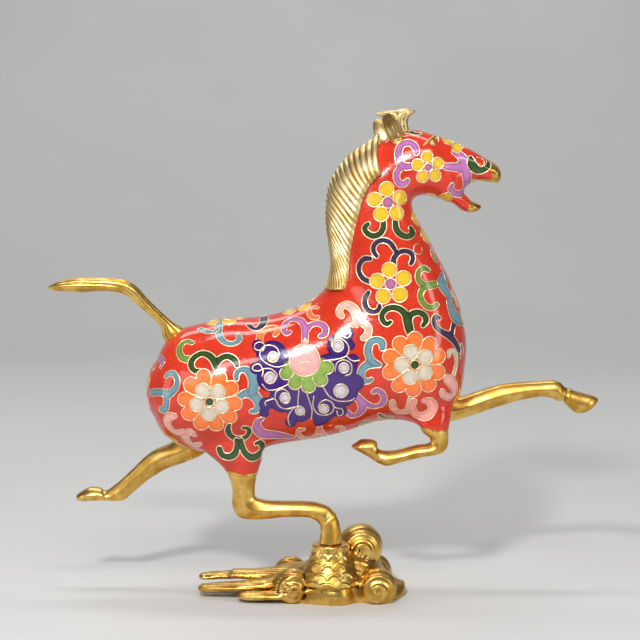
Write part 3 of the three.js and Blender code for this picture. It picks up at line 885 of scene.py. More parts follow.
def cell_depth(cell, points, normals):
    """How far each place lies inside a cell."""
    patch = cell["patch"]
    depth = np.full(len(points), FAR)
    reach = np.abs(cell["centres"]).max() + cell["radii"].max() + HALO
    offset = points - patch.middle
    near = np.linalg.norm(offset, axis=1) < reach * 1.5
    near &= normals @ patch.normal > FACING
    chosen = np.flatnonzero(near)
    flat = patch.flat(points[chosen])
    distance = np.linalg.norm(flat[:, None] - cell["centres"][None], axis=2)
    depth[chosen] = (cell["radii"] - distance).max(1)
    return depth


# %% [markdown]
# ## The palette
# The ground is vermilion. The fillings are the usual ones of such work: three greens, turquoise, navy,
# indigo, lilac, violet, two pinks, peach, yellow, orange, ivory and pearl. Each filling is given twice,
# at its edge and at its heart, because the powder shades a little towards the wires.

# %% Colours of the enamels
GROUND = linear(212, 56, 34)
DARK_GROUND = (*(level * 0.86 for level in GROUND[:3]), 1)
PALETTE = {
    "orange": ((230, 102, 46), (244, 124, 60)),
    "ivory": ((196, 180, 158), (212, 198, 178)),
    "pearl": ((168, 152, 162), (206, 196, 200)),
    "indigo": ((48, 26, 88), (66, 38, 112)),
    "lilac": ((152, 82, 142), (186, 114, 174)),
    "turquoise": ((84, 122, 136), (116, 150, 162)),
    "leaf": ((88, 112, 36), (122, 146, 64)),
    "sprout": ((104, 134, 52), (142, 172, 84)),
    "bottle": ((34, 52, 24), (58, 82, 38)),
    "navy": ((38, 26, 54), (72, 58, 88)),
    "pink": ((222, 128, 122), (244, 160, 150)),
    "blush": ((226, 144, 138), (244, 174, 168)),
    "yellow": ((212, 164, 36), (230, 184, 50)),
    "violet": ((152, 80, 126), (184, 110, 152)),
    "peach": ((236, 156, 128), (226, 184, 170)),
}


def colours(name):
    return [np.array(linear(*shade)) for shade in PALETTE[name]]


print(len(PALETTE), "fillings")

# %% [markdown]
# ## Scrolls
# A scroll is a band that curls to a round tip and widens where it joins its neighbours. Its middle
# line is a smooth curve through a few places, tip first; each place has a pixel and a band width.
# Scrolls with the same group name flow into one another without a wire between them.

# %% Draw the scrolls
CHAIN_STEP = 0.32  # mm between the discs of a chain
FIRST_GROUP = 1000  # group numbers start above the number of any cell
groups = {}


def group_number(name):
    return None if name is None else groups.setdefault(name, FIRST_GROUP + len(groups))


def add_chain(patch, line, name, group=None, once=False):
    """A cell along a line of places and radii, with the wire round it."""
    outline = chain_outline(line[:, :2], line[:, 2])
    add_cell(patch, line[:, :2], line[:, 2], colours(name), [outline], group, once)


def scroll(name, group, knots):
    places = [seen(px, py)[0] for px, py, _ in knots]
    patch = Patch(seen(*knots[len(knots) // 2][:2]))
    widths = np.array([width for _, _, width in knots])
    line = curve_through(np.column_stack([patch.flat(places), widths * PIXEL / 2]), CHAIN_STEP)
    add_chain(patch, line, name, group_number(group))


# %% Places of the haunch's scrolls
# each scroll has its colour, its group, and the pixel and width in pixels of each place
HAUNCH_SCROLLS = [
    ("turquoise", "rear", [
        (166, 376, 5), (169, 373.5, 6), (174, 374, 6), (177, 380, 6), (176, 387, 6.5), (172, 392, 7.5),
        (167, 395, 8),
    ]),
    ("turquoise", "rear", [(151, 392.5, 7), (159, 392, 7), (167, 393.5, 8)]),
    ("turquoise", "rear", [(160.5, 409.5, 6), (164.5, 409.5, 7.5), (166.5, 403, 7.5), (166, 396, 8)]),
    ("lilac", None, [(153, 369, 5), (154, 362, 6.5), (158.5, 357.5, 7), (162.5, 361, 6), (160.5, 367, 4.5)]),
    ("leaf", None, [
        (192, 343, 5), (186, 341.5, 6), (180.5, 345.5, 6.5), (179, 352, 6.5), (182.5, 358, 7),
        (189, 359.5, 8),
    ]),
    ("bottle", "arch", [
        (199, 370.5, 4.5), (195, 371, 5.5), (191.5, 367, 6.5), (191.5, 361, 7), (196, 356, 7),
        (202, 353.5, 7), (209, 355.5, 7.5), (214, 361, 7.5), (215.5, 369, 4),
    ]),
    ("bottle", "arch", [
        (237, 365.5, 5), (235, 360.5, 7), (229, 356.5, 7), (222.5, 357.5, 7), (217.5, 362, 7),
        (215.5, 369, 4),
    ]),
    ("turquoise", None, [
        (238, 335, 5.5), (239.5, 339.5, 5.5), (234, 343.5, 5.5), (226.5, 343, 6), (220.5, 338, 6.5),
        (218.5, 331, 7), (219.5, 323, 8),
    ]),
    ("turquoise", None, [(200, 329, 6), (206, 331.5, 5.5), (213, 332, 4), (218, 329, 4)]),
    ("navy", None, [(249, 325, 6), (253, 328.5, 5.5), (259, 328, 6.5), (263.5, 323, 8.5), (264, 317, 8.5)]),
    ("orange", None, [
        (275, 335, 5), (277.5, 331, 5.5), (275, 327.7, 6), (270, 327.5, 6.5), (264.5, 330, 6.5),
        (260.5, 335, 7), (259.3, 342, 7),
    ]),
    ("turquoise", "tide", [
        (236.5, 379, 5), (237, 373, 6), (242, 369.5, 6), (248, 371, 8), (252.5, 377, 10),
        (254, 385, 11), (252, 392, 10),
    ]),
    ("turquoise", "tide", [
        (251.5, 411.5, 5), (256, 410.5, 6.5), (259, 404.5, 8.5), (256, 397.5, 10), (250, 393.5, 9.5),
        (243, 394.5, 7.5), (238.5, 398.5, 6),
    ]),
    ("lilac", None, [
        (262.5, 419, 4), (257.5, 422, 6.5), (257.5, 429, 10), (264, 434, 12), (274, 435, 12),
        (284, 436, 9), (293, 437, 5),
    ]),
    ("blush", "rump", [
        (175, 416, 5), (170, 416.5, 8), (167, 421.5, 8.5), (170.5, 428.5, 8), (177, 432.5, 7),
        (184, 432, 8),
    ]),
    ("blush", "rump", [
        (194.5, 435.5, 4.5), (190.5, 431.5, 6.5), (185.5, 434.5, 8), (187, 440.5, 8), (193, 445, 7),
        (200, 443.5, 4),
    ]),
    ("bottle", None, [
        (243.5, 428, 4.5), (248, 428.5, 5), (249, 433, 5.5), (245, 437.5, 6), (238, 439, 6.5),
        (231, 436, 6.5), (228, 430, 6.5), (229.5, 424, 4),
    ]),
    ("bottle", "stub", [
        (219.5, 449, 6.5), (222, 455, 6.5), (229, 457, 7.5), (235, 453.5, 7.5), (237, 446, 6),
        (236.5, 440, 5),
    ]),
    ("bottle", "stub", [
        (256, 443.5, 4.5), (260, 442.5, 6), (262.5, 448, 7.5), (259.5, 454, 8.5), (252, 457.5, 8),
        (245.5, 453.5, 7), (242, 446, 6), (241, 440, 5),
    ]),
]

# %% Places of the barrel's scrolls
BARREL_SCROLLS = [
    ("lilac", "plume", [
        (290, 332, 4), (286.5, 333.5, 5), (283.7, 329.5, 5.5), (285.5, 323.5, 6), (291, 319.5, 6),
        (298, 319.5, 6.5), (303, 323.5, 7), (305, 330, 7), (305, 342, 6),
    ]),
    ("lilac", "plume", [
        (320.5, 336, 5), (324.5, 334, 6.5), (325.5, 328.5, 6.5), (321.5, 324.5, 6), (315, 323.5, 6),
        (309.5, 326, 6.5), (306, 331, 6.5),
    ]),
    ("orange", None, [(318, 308, 3), (312, 307.5, 4), (309, 312, 5), (312, 317, 5), (318, 317.5, 4)]),
    ("peach", "peach", [
        (341.5, 316, 6), (339, 311.5, 7), (342, 306, 7), (348, 305, 8), (354, 309.5, 9), (357, 316, 9),
        (356, 324, 8),
    ]),
    ("peach", "peach", [
        (363.5, 338, 6), (367.5, 335, 7), (368.5, 329, 7), (365, 324.5, 7), (359, 322.5, 7),
        (353.5, 324, 7),
    ]),
    ("lilac", "ebb", [
        (347.5, 411.5, 4), (351, 415.5, 6), (357, 415, 7.5), (362, 409.5, 8.5), (361.5, 402.5, 9),
        (357, 397, 8), (354, 394, 6),
    ]),
    ("lilac", "ebb", [
        (373.5, 392, 5), (377.5, 390.5, 6), (382.5, 394, 6), (384, 400, 6.5), (380.5, 405, 6.5),
        (373.5, 406.5, 6.5), (367, 404.5, 7), (362, 401, 7),
    ]),
    ("pink", "fringe", [
        (337, 427, 4), (342, 428, 5), (342, 433, 5.5), (336, 436, 5.5), (328, 435.5, 5.5),
        (321.5, 432, 5.5), (319.5, 426, 4),
    ]),
    ("pink", "fringe", [
        (303.5, 429.5, 4.5), (299, 430, 4.5), (298.5, 434.5, 5), (303.5, 438, 5.5), (311, 438, 5.5),
        (317, 434, 5.5), (319.5, 426, 4),
    ]),
    ("leaf", None, [(361.5, 425, 5.5), (365, 421.5, 5.5), (372, 420.5, 5.5), (379, 419, 6)]),
    ("bottle", None, [(379, 414, 4), (384, 417, 6), (391, 417, 5)]),
]

# %% Places of the shoulder's scrolls
SHOULDER_SCROLLS = [
    ("navy", None, [
        (379.5, 305.5, 4.5), (379, 309.5, 5.5), (373.5, 312, 5.5), (367.5, 309.5, 6),
        (364.8, 303.5, 6), (365.5, 297, 6), (368.5, 292.5, 5),
    ]),
    ("bottle", "sprig", [
        (390.5, 322, 4.5), (387, 324, 5.5), (383, 321, 6), (382, 315, 6), (386, 309.5, 6.5),
        (393, 307.5, 6.5), (400, 309.5, 7), (405, 314, 7.5), (407.5, 321, 9), (409, 328, 9),
        (411, 336, 6),
    ]),
    ("bottle", "sprig", [
        (423, 325.5, 5), (426, 321, 6.5), (424.5, 315.5, 6.5), (419, 312.5, 6.5), (413, 313.5, 7),
        (409, 318, 7.5), (408.5, 324, 8),
    ]),
    ("navy", "hook", [
        (439.5, 318, 4.5), (435.5, 316.5, 5.5), (434, 322, 5.5), (437, 328, 6), (443, 332.5, 6.5),
        (449.5, 336, 8), (455, 342, 7.5), (459, 350, 7),
    ]),
    ("navy", "hook", [(455, 321, 8), (453, 328, 7), (452, 335, 7)]),
    ("leaf", "sprout", [
        (437, 304.5, 5), (433, 307.5, 6), (427, 306.5, 6), (422.5, 302, 6), (420.5, 295.5, 6),
        (422.5, 289.5, 6), (427, 286, 6),
    ]),
    ("leaf", "sprout", [
        (428.5, 270, 5), (423.5, 268, 6), (418.8, 272.5, 6), (418.5, 279, 6), (422.5, 284, 7),
        (429, 285.5, 7.5), (436, 284, 7),
    ]),
    ("turquoise", None, [
        (448.5, 271, 6), (444.5, 277, 11), (442, 283.5, 13), (446, 290.5, 13), (450, 296, 10),
    ]),
    ("turquoise", None, [(449.5, 302.5, 9), (452, 309, 13), (455, 316, 14), (460.5, 320.5, 11)]),
    ("blush", None, [(451, 283.5, 4), (452, 290, 7), (454.5, 297, 6.5), (457, 305, 5.5)]),
    ("violet", None, [(461.5, 345, 5), (462.5, 351, 6), (461, 357, 4)]),
    ("ivory", None, [
        (449, 356, 4.5), (449.5, 352, 5), (453, 351, 5.5), (456, 355.5, 5.5), (456.5, 363, 5.5),
        (455, 370.5, 5.5), (453, 377, 6),
    ]),
    ("blush", None, [
        (442, 391, 5), (444, 395, 6.5), (450, 396.5, 8), (455, 391.5, 9), (453, 384, 11),
        (448, 379, 10),
    ]),
    ("turquoise", "wave", [
        (382.5, 348, 6.5), (382, 342.5, 7.5), (376.5, 340, 7), (370.5, 342.5, 7.5), (368, 350, 8),
        (369.5, 357.5, 7.5), (373, 362.5, 8), (379, 365, 6),
    ]),
    ("turquoise", "wave", [
        (371.5, 379.5, 4.5), (367, 381.5, 6), (362.5, 380, 7), (361, 374, 7.5), (363.5, 368, 8),
        (369, 364.5, 8.5), (375, 364.5, 7),
    ]),
    ("blush", None, [
        (392.5, 402, 6), (393, 407.5, 6.5), (398, 411.5, 7), (405, 412, 7), (409.5, 407, 7),
        (411, 400, 7), (413, 395, 6),
    ]),
    ("pink", None, [
        (424.5, 400.5, 5.5), (430, 401.5, 8), (433, 407.5, 8.5), (429, 414, 9), (421.5, 416.5, 9),
        (414.5, 413.5, 8), (412, 407, 7), (414, 401, 6),
    ]),
]

# %% Places of the scrolls on the neck and head
NECK_SCROLLS = [
    ("bottle", None, [
        (368, 224, 5), (364.5, 228, 6), (367, 233, 6.5), (373, 236, 6.5), (379.5, 234, 6.5),
        (383, 228.5, 6.5), (383.5, 221, 5.5),
    ]),
    ("bottle", None, [
        (411, 228, 5.5), (413, 232.5, 6.5), (408, 236.5, 6.5), (401, 234.5, 7), (396.5, 229, 7),
        (395.5, 221, 6),
    ]),
    ("navy", "clasp", [
        (376.5, 256, 5), (373.5, 251, 5.5), (374.5, 244.5, 5.5), (380.5, 240.5, 5.5),
        (388, 241.5, 5.5), (393, 246.5, 5.5), (396, 252, 4),
    ]),
    ("navy", "clasp", [
        (411, 263.5, 5), (413, 259, 5.5), (411.5, 253.5, 5.5), (405, 251, 5.5), (398.5, 253, 5.5),
        (394, 258.5, 6), (393.5, 266, 6),
    ]),
    ("navy", None, [
        (370.5, 258.5, 5), (364, 259, 6), (359.5, 264.5, 6), (359, 272, 6), (363, 278.5, 6),
        (370, 282, 5.5),
    ]),
    ("leaf", None, [(430.5, 246, 3.5), (431.5, 252, 5), (434, 258, 5.5), (437.5, 261.5, 3.5)]),
]
HEAD_SCROLLS = [
    ("lilac", "jowl", [
        (416.5, 153, 5.5), (415.5, 147.5, 7), (410.5, 143, 7.5), (403.5, 143.5, 8), (399, 149, 8),
        (398.5, 156, 7.5), (400, 162.5, 7.5), (405, 166.5, 7), (413, 166, 6),
    ]),
    ("lilac", "jowl", [
        (407.5, 180.5, 5), (404, 184, 6.5), (399, 183, 6.5), (396.5, 177.5, 6.5), (397.5, 171.5, 6.5),
        (402, 167, 6),
    ]),
    ("lilac", "bridle", [
        (452.5, 184.5, 4), (450.8, 189, 6), (454.5, 193.5, 7), (461, 192.5, 8), (466, 186.5, 9),
    ]),
    ("lilac", "bridle", [
        (466, 186.5, 9), (467, 179, 9.5), (465.8, 171, 10.5), (464.5, 163, 11), (461, 156, 9),
        (454, 152, 5.5),
    ]),
    ("lilac", "bridle", [(446, 166.5, 7.5), (453, 167, 8), (461, 167.5, 10)]),
    ("bottle", None, [
        (471, 158.5, 6), (472.5, 165, 10), (477.5, 170, 8), (484, 169.5, 6.5), (488.5, 165.5, 5.5),
        (488.5, 160.5, 4),
    ]),
    ("bottle", None, [(404, 129, 3), (409, 131.5, 5.5), (415, 133.5, 5.5), (421, 133.5, 3)]),
]
LOOSE_LOOPS = [
    [(419, 243), (414.5, 245), (414, 251), (418, 254.5), (422, 252), (422, 247.5)],
    [(476.5, 157), (482, 158.5), (484.5, 162.5), (482, 166.5), (478, 165)],
]


# %% Lay all the scrolls
def loose_wire(knots):
    """One wire that bounds no cell."""
    patch = Patch(seen(*knots[0]))
    flat = [patch.flat(seen(px, py)[0]) for px, py in knots]
    extra_wires.append((patch, curve_through(flat, OUTLINE_STEP)))


for part in (HAUNCH_SCROLLS, BARREL_SCROLLS, SHOULDER_SCROLLS, NECK_SCROLLS, HEAD_SCROLLS):
    for row in part:
        scroll(*row)
for loop in LOOSE_LOOPS:
    loose_wire(loop)
print(len(cells), "scroll cells")

# %% [markdown]
# ## Flowers
# The small flowers have five round petals and a violet heart. The two large ones have five petals,
# each notched in two, five inner petals and a green heart, and wires run out between the petals.
# Flowers on the middle line, such as those on the back, show two petals on each side of the horse.

# %% Draw the flowers
def ring_of(count, radius, turn):
    angle = math.radians(turn) + 2 * math.pi * np.arange(count) / count
    return radius * np.stack([np.cos(angle), np.sin(angle)], -1)


def round_cell(patch, middle, radius, name, once=False):
    add_cell(patch, middle, radius, colours(name), [circle(middle, radius)], once=once)


def small_flower(place, petal, spread, heart, turn=95, once=False):
    patch = Patch(place)
    for middle in ring_of(5, spread, turn):
        round_cell(patch, middle, petal, "yellow", once=once)
    round_cell(patch, np.zeros(2), heart, "violet", once=once)


def large_flower(place, radius, turn):
    """A flower whose parts are all sized as shares of its radius."""
    patch = Patch(place)
    lobe = radius * 0.235
    lobes = np.vstack([ring_of(5, radius - lobe, turn + side * 17.5) for side in (-1, 1)])
    centres = np.vstack([lobes, np.zeros((1, 2))])
    sizes = np.array([lobe] * 10 + [radius * 0.7])
    add_cell(patch, centres, sizes, colours("orange"), [circle(c, s) for c, s in zip(centres, sizes)])
    for tip, root in zip(ring_of(5, radius * 0.82, turn + 36), ring_of(5, radius * 0.2, turn + 36)):
        extra_wires.append((patch, curve_through([root, (root + tip) / 2, tip], OUTLINE_STEP)))
    for middle in ring_of(5, radius * 0.4, turn):
        round_cell(patch, middle, radius * 0.225, "ivory")
    round_cell(patch, np.zeros(2), radius * 0.14, "bottle")


small_flower(seen(388, 202.5), 2.95, 5.4, 2.3)
small_flower(seen(390.5, 284), 3.05, 5.6, 2.3)
small_flower(seen(428.4, 167.3), 2.4, 4.3, 1.65)
large_flower(seen(209.5, 402), 12.9, 50)
large_flower(seen(415, 365), 13.2, 35)
# place along the plan, angle, radius of a petal, of the ring of petals and of the heart, and turn
MIDDLE_FLOWERS = [
    (0.08, math.pi, 3.5, 6.6, 2.4, -54),
    (6.0, 0, 2.8, 5.8, 2.3, 0),
    (8.8, 0, 2.8, 5.6, 2.3, 0),
    (28.6, 0, 2.2, 3.8, 1.4, 0),
    (20.1, math.pi, 3.4, 6.6, 2.4, -54),
    (25.6, math.pi, 2.6, 5, 1.7, 0),
    (3.5, math.pi, 2.7, 5.4, 2.3, 0),
    (8.6, math.pi, 2.7, 5.4, 2.3, 0),
    (11.4, math.pi, 2.7, 5.4, 2.3, 0),
]
for u, angle, petal, spread, heart, turn in MIDDLE_FLOWERS:
    small_flower(on_middle(u, angle), petal, spread, heart, turn, once=True)
print(len(cells), "cells with the flowers")

# %% [markdown]
# The medallion on the barrel is a lotus: a pink bud in a green cup, on an indigo cloud with pearls. Many
# wires curl over the cloud.

# %% Draw the lotus medallion
# each disc has its pixel and its radius in pixels
CLOUD = [
    (273, 357, 15), (270, 378, 13), (283, 399, 14), (300, 410, 13), (305, 388, 26), (323, 409, 14),
    (341, 391, 17), (344, 368, 13), (338, 346, 11), (258, 346, 6), (261, 354, 5), (347, 334, 7),
    (256, 368, 6), (266, 404, 7), (264, 413, 5), (291, 422, 6), (340, 411, 7), (319, 421, 6),
    (323, 417, 8), (353, 360, 6), (355, 383, 9), (350, 345, 5), (280, 366, 15), (330, 372, 18),
]
PEARLS = [
    (273, 357, 5), (270, 378, 5.5), (285, 398, 5), (300, 411, 4.5), (324, 409, 4.8), (341, 391, 7),
    (344, 368, 5), (338, 346, 5.5),
]
CUP = [(286, 373.5, 6.2), (295, 383, 6.6), (308.5, 386, 7.2), (321, 380, 6.6), (327, 367.5, 6.6)]
CUP_FLOOR = [(289, 367, 6), (296, 374, 8), (308, 376, 9), (318, 371, 8), (322, 364, 6)]
BUD = [
    (305.3, 339, 0.7), (305.2, 344.5, 2.2), (305, 349.5, 5.4), (304.9, 355, 11), (304.8, 359, 14.2),
    (304.7, 360.8, 15.1),
]
CURLS = [
    [
        (289, 364), (277, 367), (266, 363), (260, 356), (262, 348), (269, 345), (277, 348), (279, 355),
        (275, 359), (268, 361),
    ],
    [(262, 352), (265, 346), (261, 342), (255, 344), (255, 349), (261, 350), (266, 345)],
    [
        (262, 377), (263, 370), (259, 364), (253, 366), (253, 370), (259, 371), (263, 369), (271, 369),
        (277, 375), (273, 383), (266, 381),
    ],
    [(262, 384), (268, 390), (278, 389), (289, 384)],
    [(299, 390), (298, 400), (298, 406)],
    [(275, 398), (276, 392), (283, 389), (289, 394), (289, 402), (284, 404)],
    [(266, 406), (265, 402), (270, 400), (275, 399), (279, 406), (286, 409), (295, 407)],
    [(290, 426), (288, 419), (291, 411), (298, 406), (304, 409), (304, 416)],
    [(306, 391), (309, 400), (312, 410), (311, 420)],
    [
        (318, 408), (321, 402), (327, 400), (333, 404), (333, 411), (327, 415), (318, 414), (313, 406),
        (314, 396),
    ],
    [(322, 385), (329, 396), (338, 401), (350, 401), (355, 398)],
    [(333, 405), (336, 408), (342, 409), (343, 414), (338, 416), (337, 411)],
    [(332, 347), (332, 341), (339, 338), (346, 342), (349, 349), (346, 356), (338, 359), (322, 361)],
    [(341, 338), (341, 332), (347, 330), (351, 334), (347, 338), (342, 335)],
    [(335, 372), (337, 363), (344, 360), (351, 364), (351, 373), (345, 376)],
    [(346, 356), (353, 361), (360, 360)],
    [(311, 366), (308, 362), (302, 363), (300, 368), (304, 372)],
    [(289, 379.5), (292, 376.5), (294, 373)],
    [(302, 388), (301.5, 383), (302.5, 378)],
    [(315, 385), (314, 381), (312, 377.5)],
]


# %% Lay the medallion
def lotus():
    patch = Patch(seen(305, 385))

    def flat(px, py):
        return patch.flat(seen(px, py)[0])

    middles = np.array([flat(px, py) for px, py, _ in CLOUD])
    add_cell(patch, middles, [size * PIXEL for *_, size in CLOUD], colours("indigo"), [])
    for px, py, size in PEARLS:
        round_cell(patch, flat(px, py), size * PIXEL, "pearl")
    lobes = [(flat(px, py), size * PIXEL) for px, py, size in CUP]
    floor = [(flat(px, py), size * PIXEL) for px, py, size in CUP_FLOOR]
    middles, sizes = zip(*lobes, *floor)
    add_cell(patch, np.array(middles), list(sizes), colours("sprout"), [circle(*lobe) for lobe in lobes])
    spine = curve_through([(*flat(px, py), size * PIXEL) for px, py, size in BUD], CHAIN_STEP)
    outlines = [chain_outline(spine[:, :2], spine[:, 2]), circle(spine[-1, :2], spine[-1, 2])]
    add_cell(patch, spine[:, :2], spine[:, 2], colours("blush"), outlines)
    for knots in CURLS:
        extra_wires.append((patch, curve_through([flat(px, py) for px, py in knots], OUTLINE_STEP)))


lotus()
print(len(extra_wires), "wires that bound no cell")

# %% [markdown]
# The chest faces forward, so it is drawn on a plane across the middle line instead: pink lobes that
# meet between the turquoise scrolls of the two sides.

# %% Draw the chest
CHEST = [
    ("blush", [(0.2, 15, 2.4), (3, 12, 3), (3.4, 7, 3), (1.5, 3, 3), (-1, 0.5, 2.4)]),
    ("violet", [(7, -9, 2.6), (5, -12, 3), (2.6, -10.5, 3), (1.2, -6.5, 3)]),
    ("pink", [(6.5, -22, 2.6), (3.5, -20, 3), (3, -16, 3), (6, -13.5, 3)]),
]


def chest():
    front = Patch(on_middle(17.2, math.pi))
    front.right = np.array([0, -1.0, 0])
    front.up = np.cross(front.normal, front.right)
    for side in (1, -1):
        for name, knots in CHEST:
            line = curve_through([(side * u, v, width / 2) for u, v, width in knots], CHAIN_STEP)
            add_chain(front, line, name, once=True)


chest()
print(len(cells), "cells in all")

# %% [markdown]
# ## Storing the cells on the skin
# The skin's points carry the drawing. For each layer of the drawing a point stores how deep it lies
# inside a cell, and that cell's colour. The shader cuts each layer exactly where the depth is zero,
# which gives edges much finer than the mesh. Cells that overlap go into different layers, and a
# cell that is drawn later goes above.

# %% Fill the layers
SHADE_DEPTHS = (0.1, 1.3)  # mm inside a cell between its edge colour and its heart's


def new_layer(count):
    """A layer with nothing drawn in it; owner -1 means that no cell is near."""
    return {"depth": np.full(count, FAR), "colour": np.zeros((count, 4)), "owner": np.full(count, -1)}


def layer_for(layers, group, depth, near):
    """The lowest layer above all that a cell covers, with no other group's cell near it."""
    lowest = 0
    for k, layer in enumerate(layers):
        covers = (depth > 0) & (layer["depth"] > 0) & (layer["owner"] != group)
        lowest = k + 1 if covers.any() else lowest
    for layer in layers[lowest:]:
        others = near & (layer["owner"] >= 0) & (layer["owner"] != group)
        if not others.any():
            return layer
    layers.append(new_layer(len(depth)))
    return layers[-1]


def fill_layers(points, normals):
    layers = []
    for cell in cells:
        edge, heart = cell["colours"]
        for side in sides_of(cell):
            turn = np.array([1, side, 1])
            depth = cell_depth(cell, points * turn, normals * turn)
            near = depth > -HALO
            layer = layer_for(layers, cell["group"], depth, near)
            deeper = near & (depth > layer["depth"])
            share = smoothstep(depth[deeper], *SHADE_DEPTHS)[:, None]
            layer["colour"][deeper] = edge + (heart - edge) * share
            layer["depth"][deeper] = depth[deeper]
            layer["owner"][near] = cell["group"]
    return layers


def store(mesh, name, kind, values):
    """Stores a number or a colour on each point of a mesh."""
    field = "color" if kind == "FLOAT_COLOR" else "value"
    attribute = mesh.attributes.new(name, kind, "POINT")
    attribute.data.foreach_set(field, np.asarray(values, np.float32).ravel())


layers = fill_layers(skin_points, skin_normals)
for k, layer in enumerate(layers):
    store(body_mesh, f"depth_{k}", "FLOAT", layer["depth"])
    store(body_mesh, f"colour_{k}", "FLOAT_COLOR", layer["colour"])
print(len(layers), "layers")

# %% [markdown]
# The muzzle, the upper lip and the tip of the lower lip are bare gilt metal on the real one, and so
# are the lower ends of the sleeves, up to a wavy edge. A last attribute stores how far a point lies
# inside those parts.

# %% Mark the bare metal
MUZZLE_EDGE = (75.9, 171)  # a point of its slanting edge, as x and z in mm
LIP_BACK = 67.5  # x of its hind end
LIP_HEIGHT = 169.1
LIP_HALF = 0.75  # half its height
CHIN_EDGE = (66.8, 159)  # a point of its slanting hind edge
CHIN_HEIGHTS = (152, 163)
SLEEVE_ENDS = [(-24, 52.9), (53, 70.5)]  # middle x of each sleeve, and the z where its enamel ends
SLEEVE_REACH = 9  # mm round the middle of a sleeve


def sleeve_end(points, middle_x, edge):
    """How far each place lies inside the bare end of a sleeve."""
    x, y, z = points.T
    turn = np.arctan2(y + LEG_OFFSET, x - middle_x)
    wave = 0.5 * np.sin(2 * turn + 0.6) + 0.25 * np.sin(5 * turn)
    beside = np.hypot(x - middle_x, y + LEG_OFFSET)
    return np.minimum(edge + wave - z, SLEEVE_REACH - beside)


def bare_depth(points):
    """How far each place lies inside the bare metal."""
    x, _, z = points.T
    muzzle = x - MUZZLE_EDGE[0] + 0.25 * (z - MUZZLE_EDGE[1])
    lip = np.minimum(LIP_HALF - np.abs(z - LIP_HEIGHT), x - LIP_BACK)
    chin = x - CHIN_EDGE[0] - 0.2 * (z - CHIN_EDGE[1])
    chin = np.minimum(np.minimum(chin, CHIN_HEIGHTS[1] - z), z - CHIN_HEIGHTS[0])
    return np.maximum.reduce([muzzle, lip, chin, *(sleeve_end(points, *end) for end in SLEEVE_ENDS)])


bare = bare_depth(skin_points)
store(body_mesh, "bare", "FLOAT", np.clip(bare, -3, 3))
print(int((bare > 0).sum()), "points are bare metal")

# %% [markdown]
# ## Enamel
# Enamel is glass: a smooth surface over a coloured powder that is never quite even. The shader lays
# the layers over the ground, mottles the colour at two scales, and leaves the small dark pits that
# polishing opens. The pits are also pressed a little into the surface.

# %% Enamel material
GILT_BRIGHT = linear(234, 194, 106)
GILT_WORN = linear(196, 148, 62)
PIT_COLOUR = (0.03, 0.015, 0.01, 1)
EDGE = 0.02  # mm on each side of a cell's edge where its mask goes from 0 to 1


def edge_mask(depth):
    return depth.between(-EDGE, EDGE)


def enamel_material(layer_count):
    material, shader, place = start_material("enamel")
    colour = noise(place, 120.0).between(0.3, 0.7).mix(DARK_GROUND, GROUND)
    for k in range(layer_count):
        filling = place.node("ShaderNodeAttribute", {"attribute_name": f"colour_{k}"}, out=0)
        colour = edge_mask(stored(place, f"depth_{k}")).mix(colour, filling)
    mottle = noise(place, 900.0, 3.0)
    cloud = noise(place, 260.0)
    shade = mottle.between(0.25, 0.75, 0.9, 1.06) * cloud.between(0.3, 0.7, 0.93, 1.05)
    pit = pits(place, 700.0, 330.0, 0.02, 0.13)
    darken = {"data_type": "RGBA", "blend_type": "MULTIPLY"}
    colour = colour.node("ShaderNodeMix", darken, out=2, i0=1.0, i6=colour, i7=shade)
    colour = (pit * 0.5).mix(colour, PIT_COLOUR)
    bare = edge_mask(stored(place, "bare"))
    colour = bare.mix(colour, cloud.between(0.4, 0.65).mix(GILT_BRIGHT, GILT_WORN))
    gloss = mottle.between(0.3, 0.7, 0.09, 0.16) + pit * 0.3
    feed(shader, Base_Color=colour, Roughness=gloss + bare * 0.16, Metallic=bare)
    height = (1 - pit) * 0.6 + mottle * 0.06 + noise(place, 520.0) * 0.7
    bump = place.node("ShaderNodeBump", Height=height, Distance=0.00006, Strength=0.8)
    feed(shader, Normal=bump)
    return material


place_piece("enamel_body", body_mesh, enamel_material(len(layers)), "body")

# %% [markdown]
# ## Gilding
# Fire gilding on a cast surface is bright where fingers and cloths polish it. In the hollows its colour
# is painted brown: partly the patina and old lacquer that stay there, partly painted shade for the
# light that reaches them less. Each casting therefore stores how hollow its surface is at every point:
# the mesh is smoothed in numbers, and where the smoothed one lies above the real one, the place is a
# hollow. The mane, forelock, ears and eyes are paler than the legs, and the wires are painted almost
# white, a painted highlight for the light that their polished tops catch.

# %% Measure the hollows
def hollowness(mesh, passes, depth):
    """Stores 0.5 on even ground, more in a hollow, and 1 where it is as deep as given in mm."""
    points, normals = mesh_arrays(mesh)
    above = ((smoothed(points, edge_ends(mesh), passes) - points) * normals).sum(1)
    store(mesh, "hollow", "FLOAT", np.clip(0.5 + 0.5 * above / depth, 0, 1))


def gilding_material(name, bright, worn, dark, roughness):
    material, shader, place = start_material(name)
    patches = noise(place, 160.0, 4.0)
    colour = patches.between(0.35, 0.65).mix(bright, worn)
    # painted shade and patina: the colour turns towards dark in the hollows
    patina_and_shade = (stored(place, "hollow") + (patches - 0.5) * 0.35).between(0.56, 0.86)
    colour = patina_and_shade.mix(colour, dark)
    pit = pits(place, 420.0, 210.0, 0.03, 0.16)
    colour = (pit * 0.55).mix(colour, dark)
    rough = patches.between(0.3, 0.7, roughness, roughness + 0.1) + patina_and_shade * 0.2 + pit * 0.15
    feed(shader, Base_Color=colour, Roughness=rough)
    height = (1 - pit) * 0.5 + noise(place, 1400.0, 3.0) * 0.18 + noise(place, 330.0) * 0.5
    feed(shader, Normal=place.node("ShaderNodeBump", Height=height, Distance=0.0002, Strength=0.5))
    shader.inputs["Metallic"].default_value = 1.0
    return material


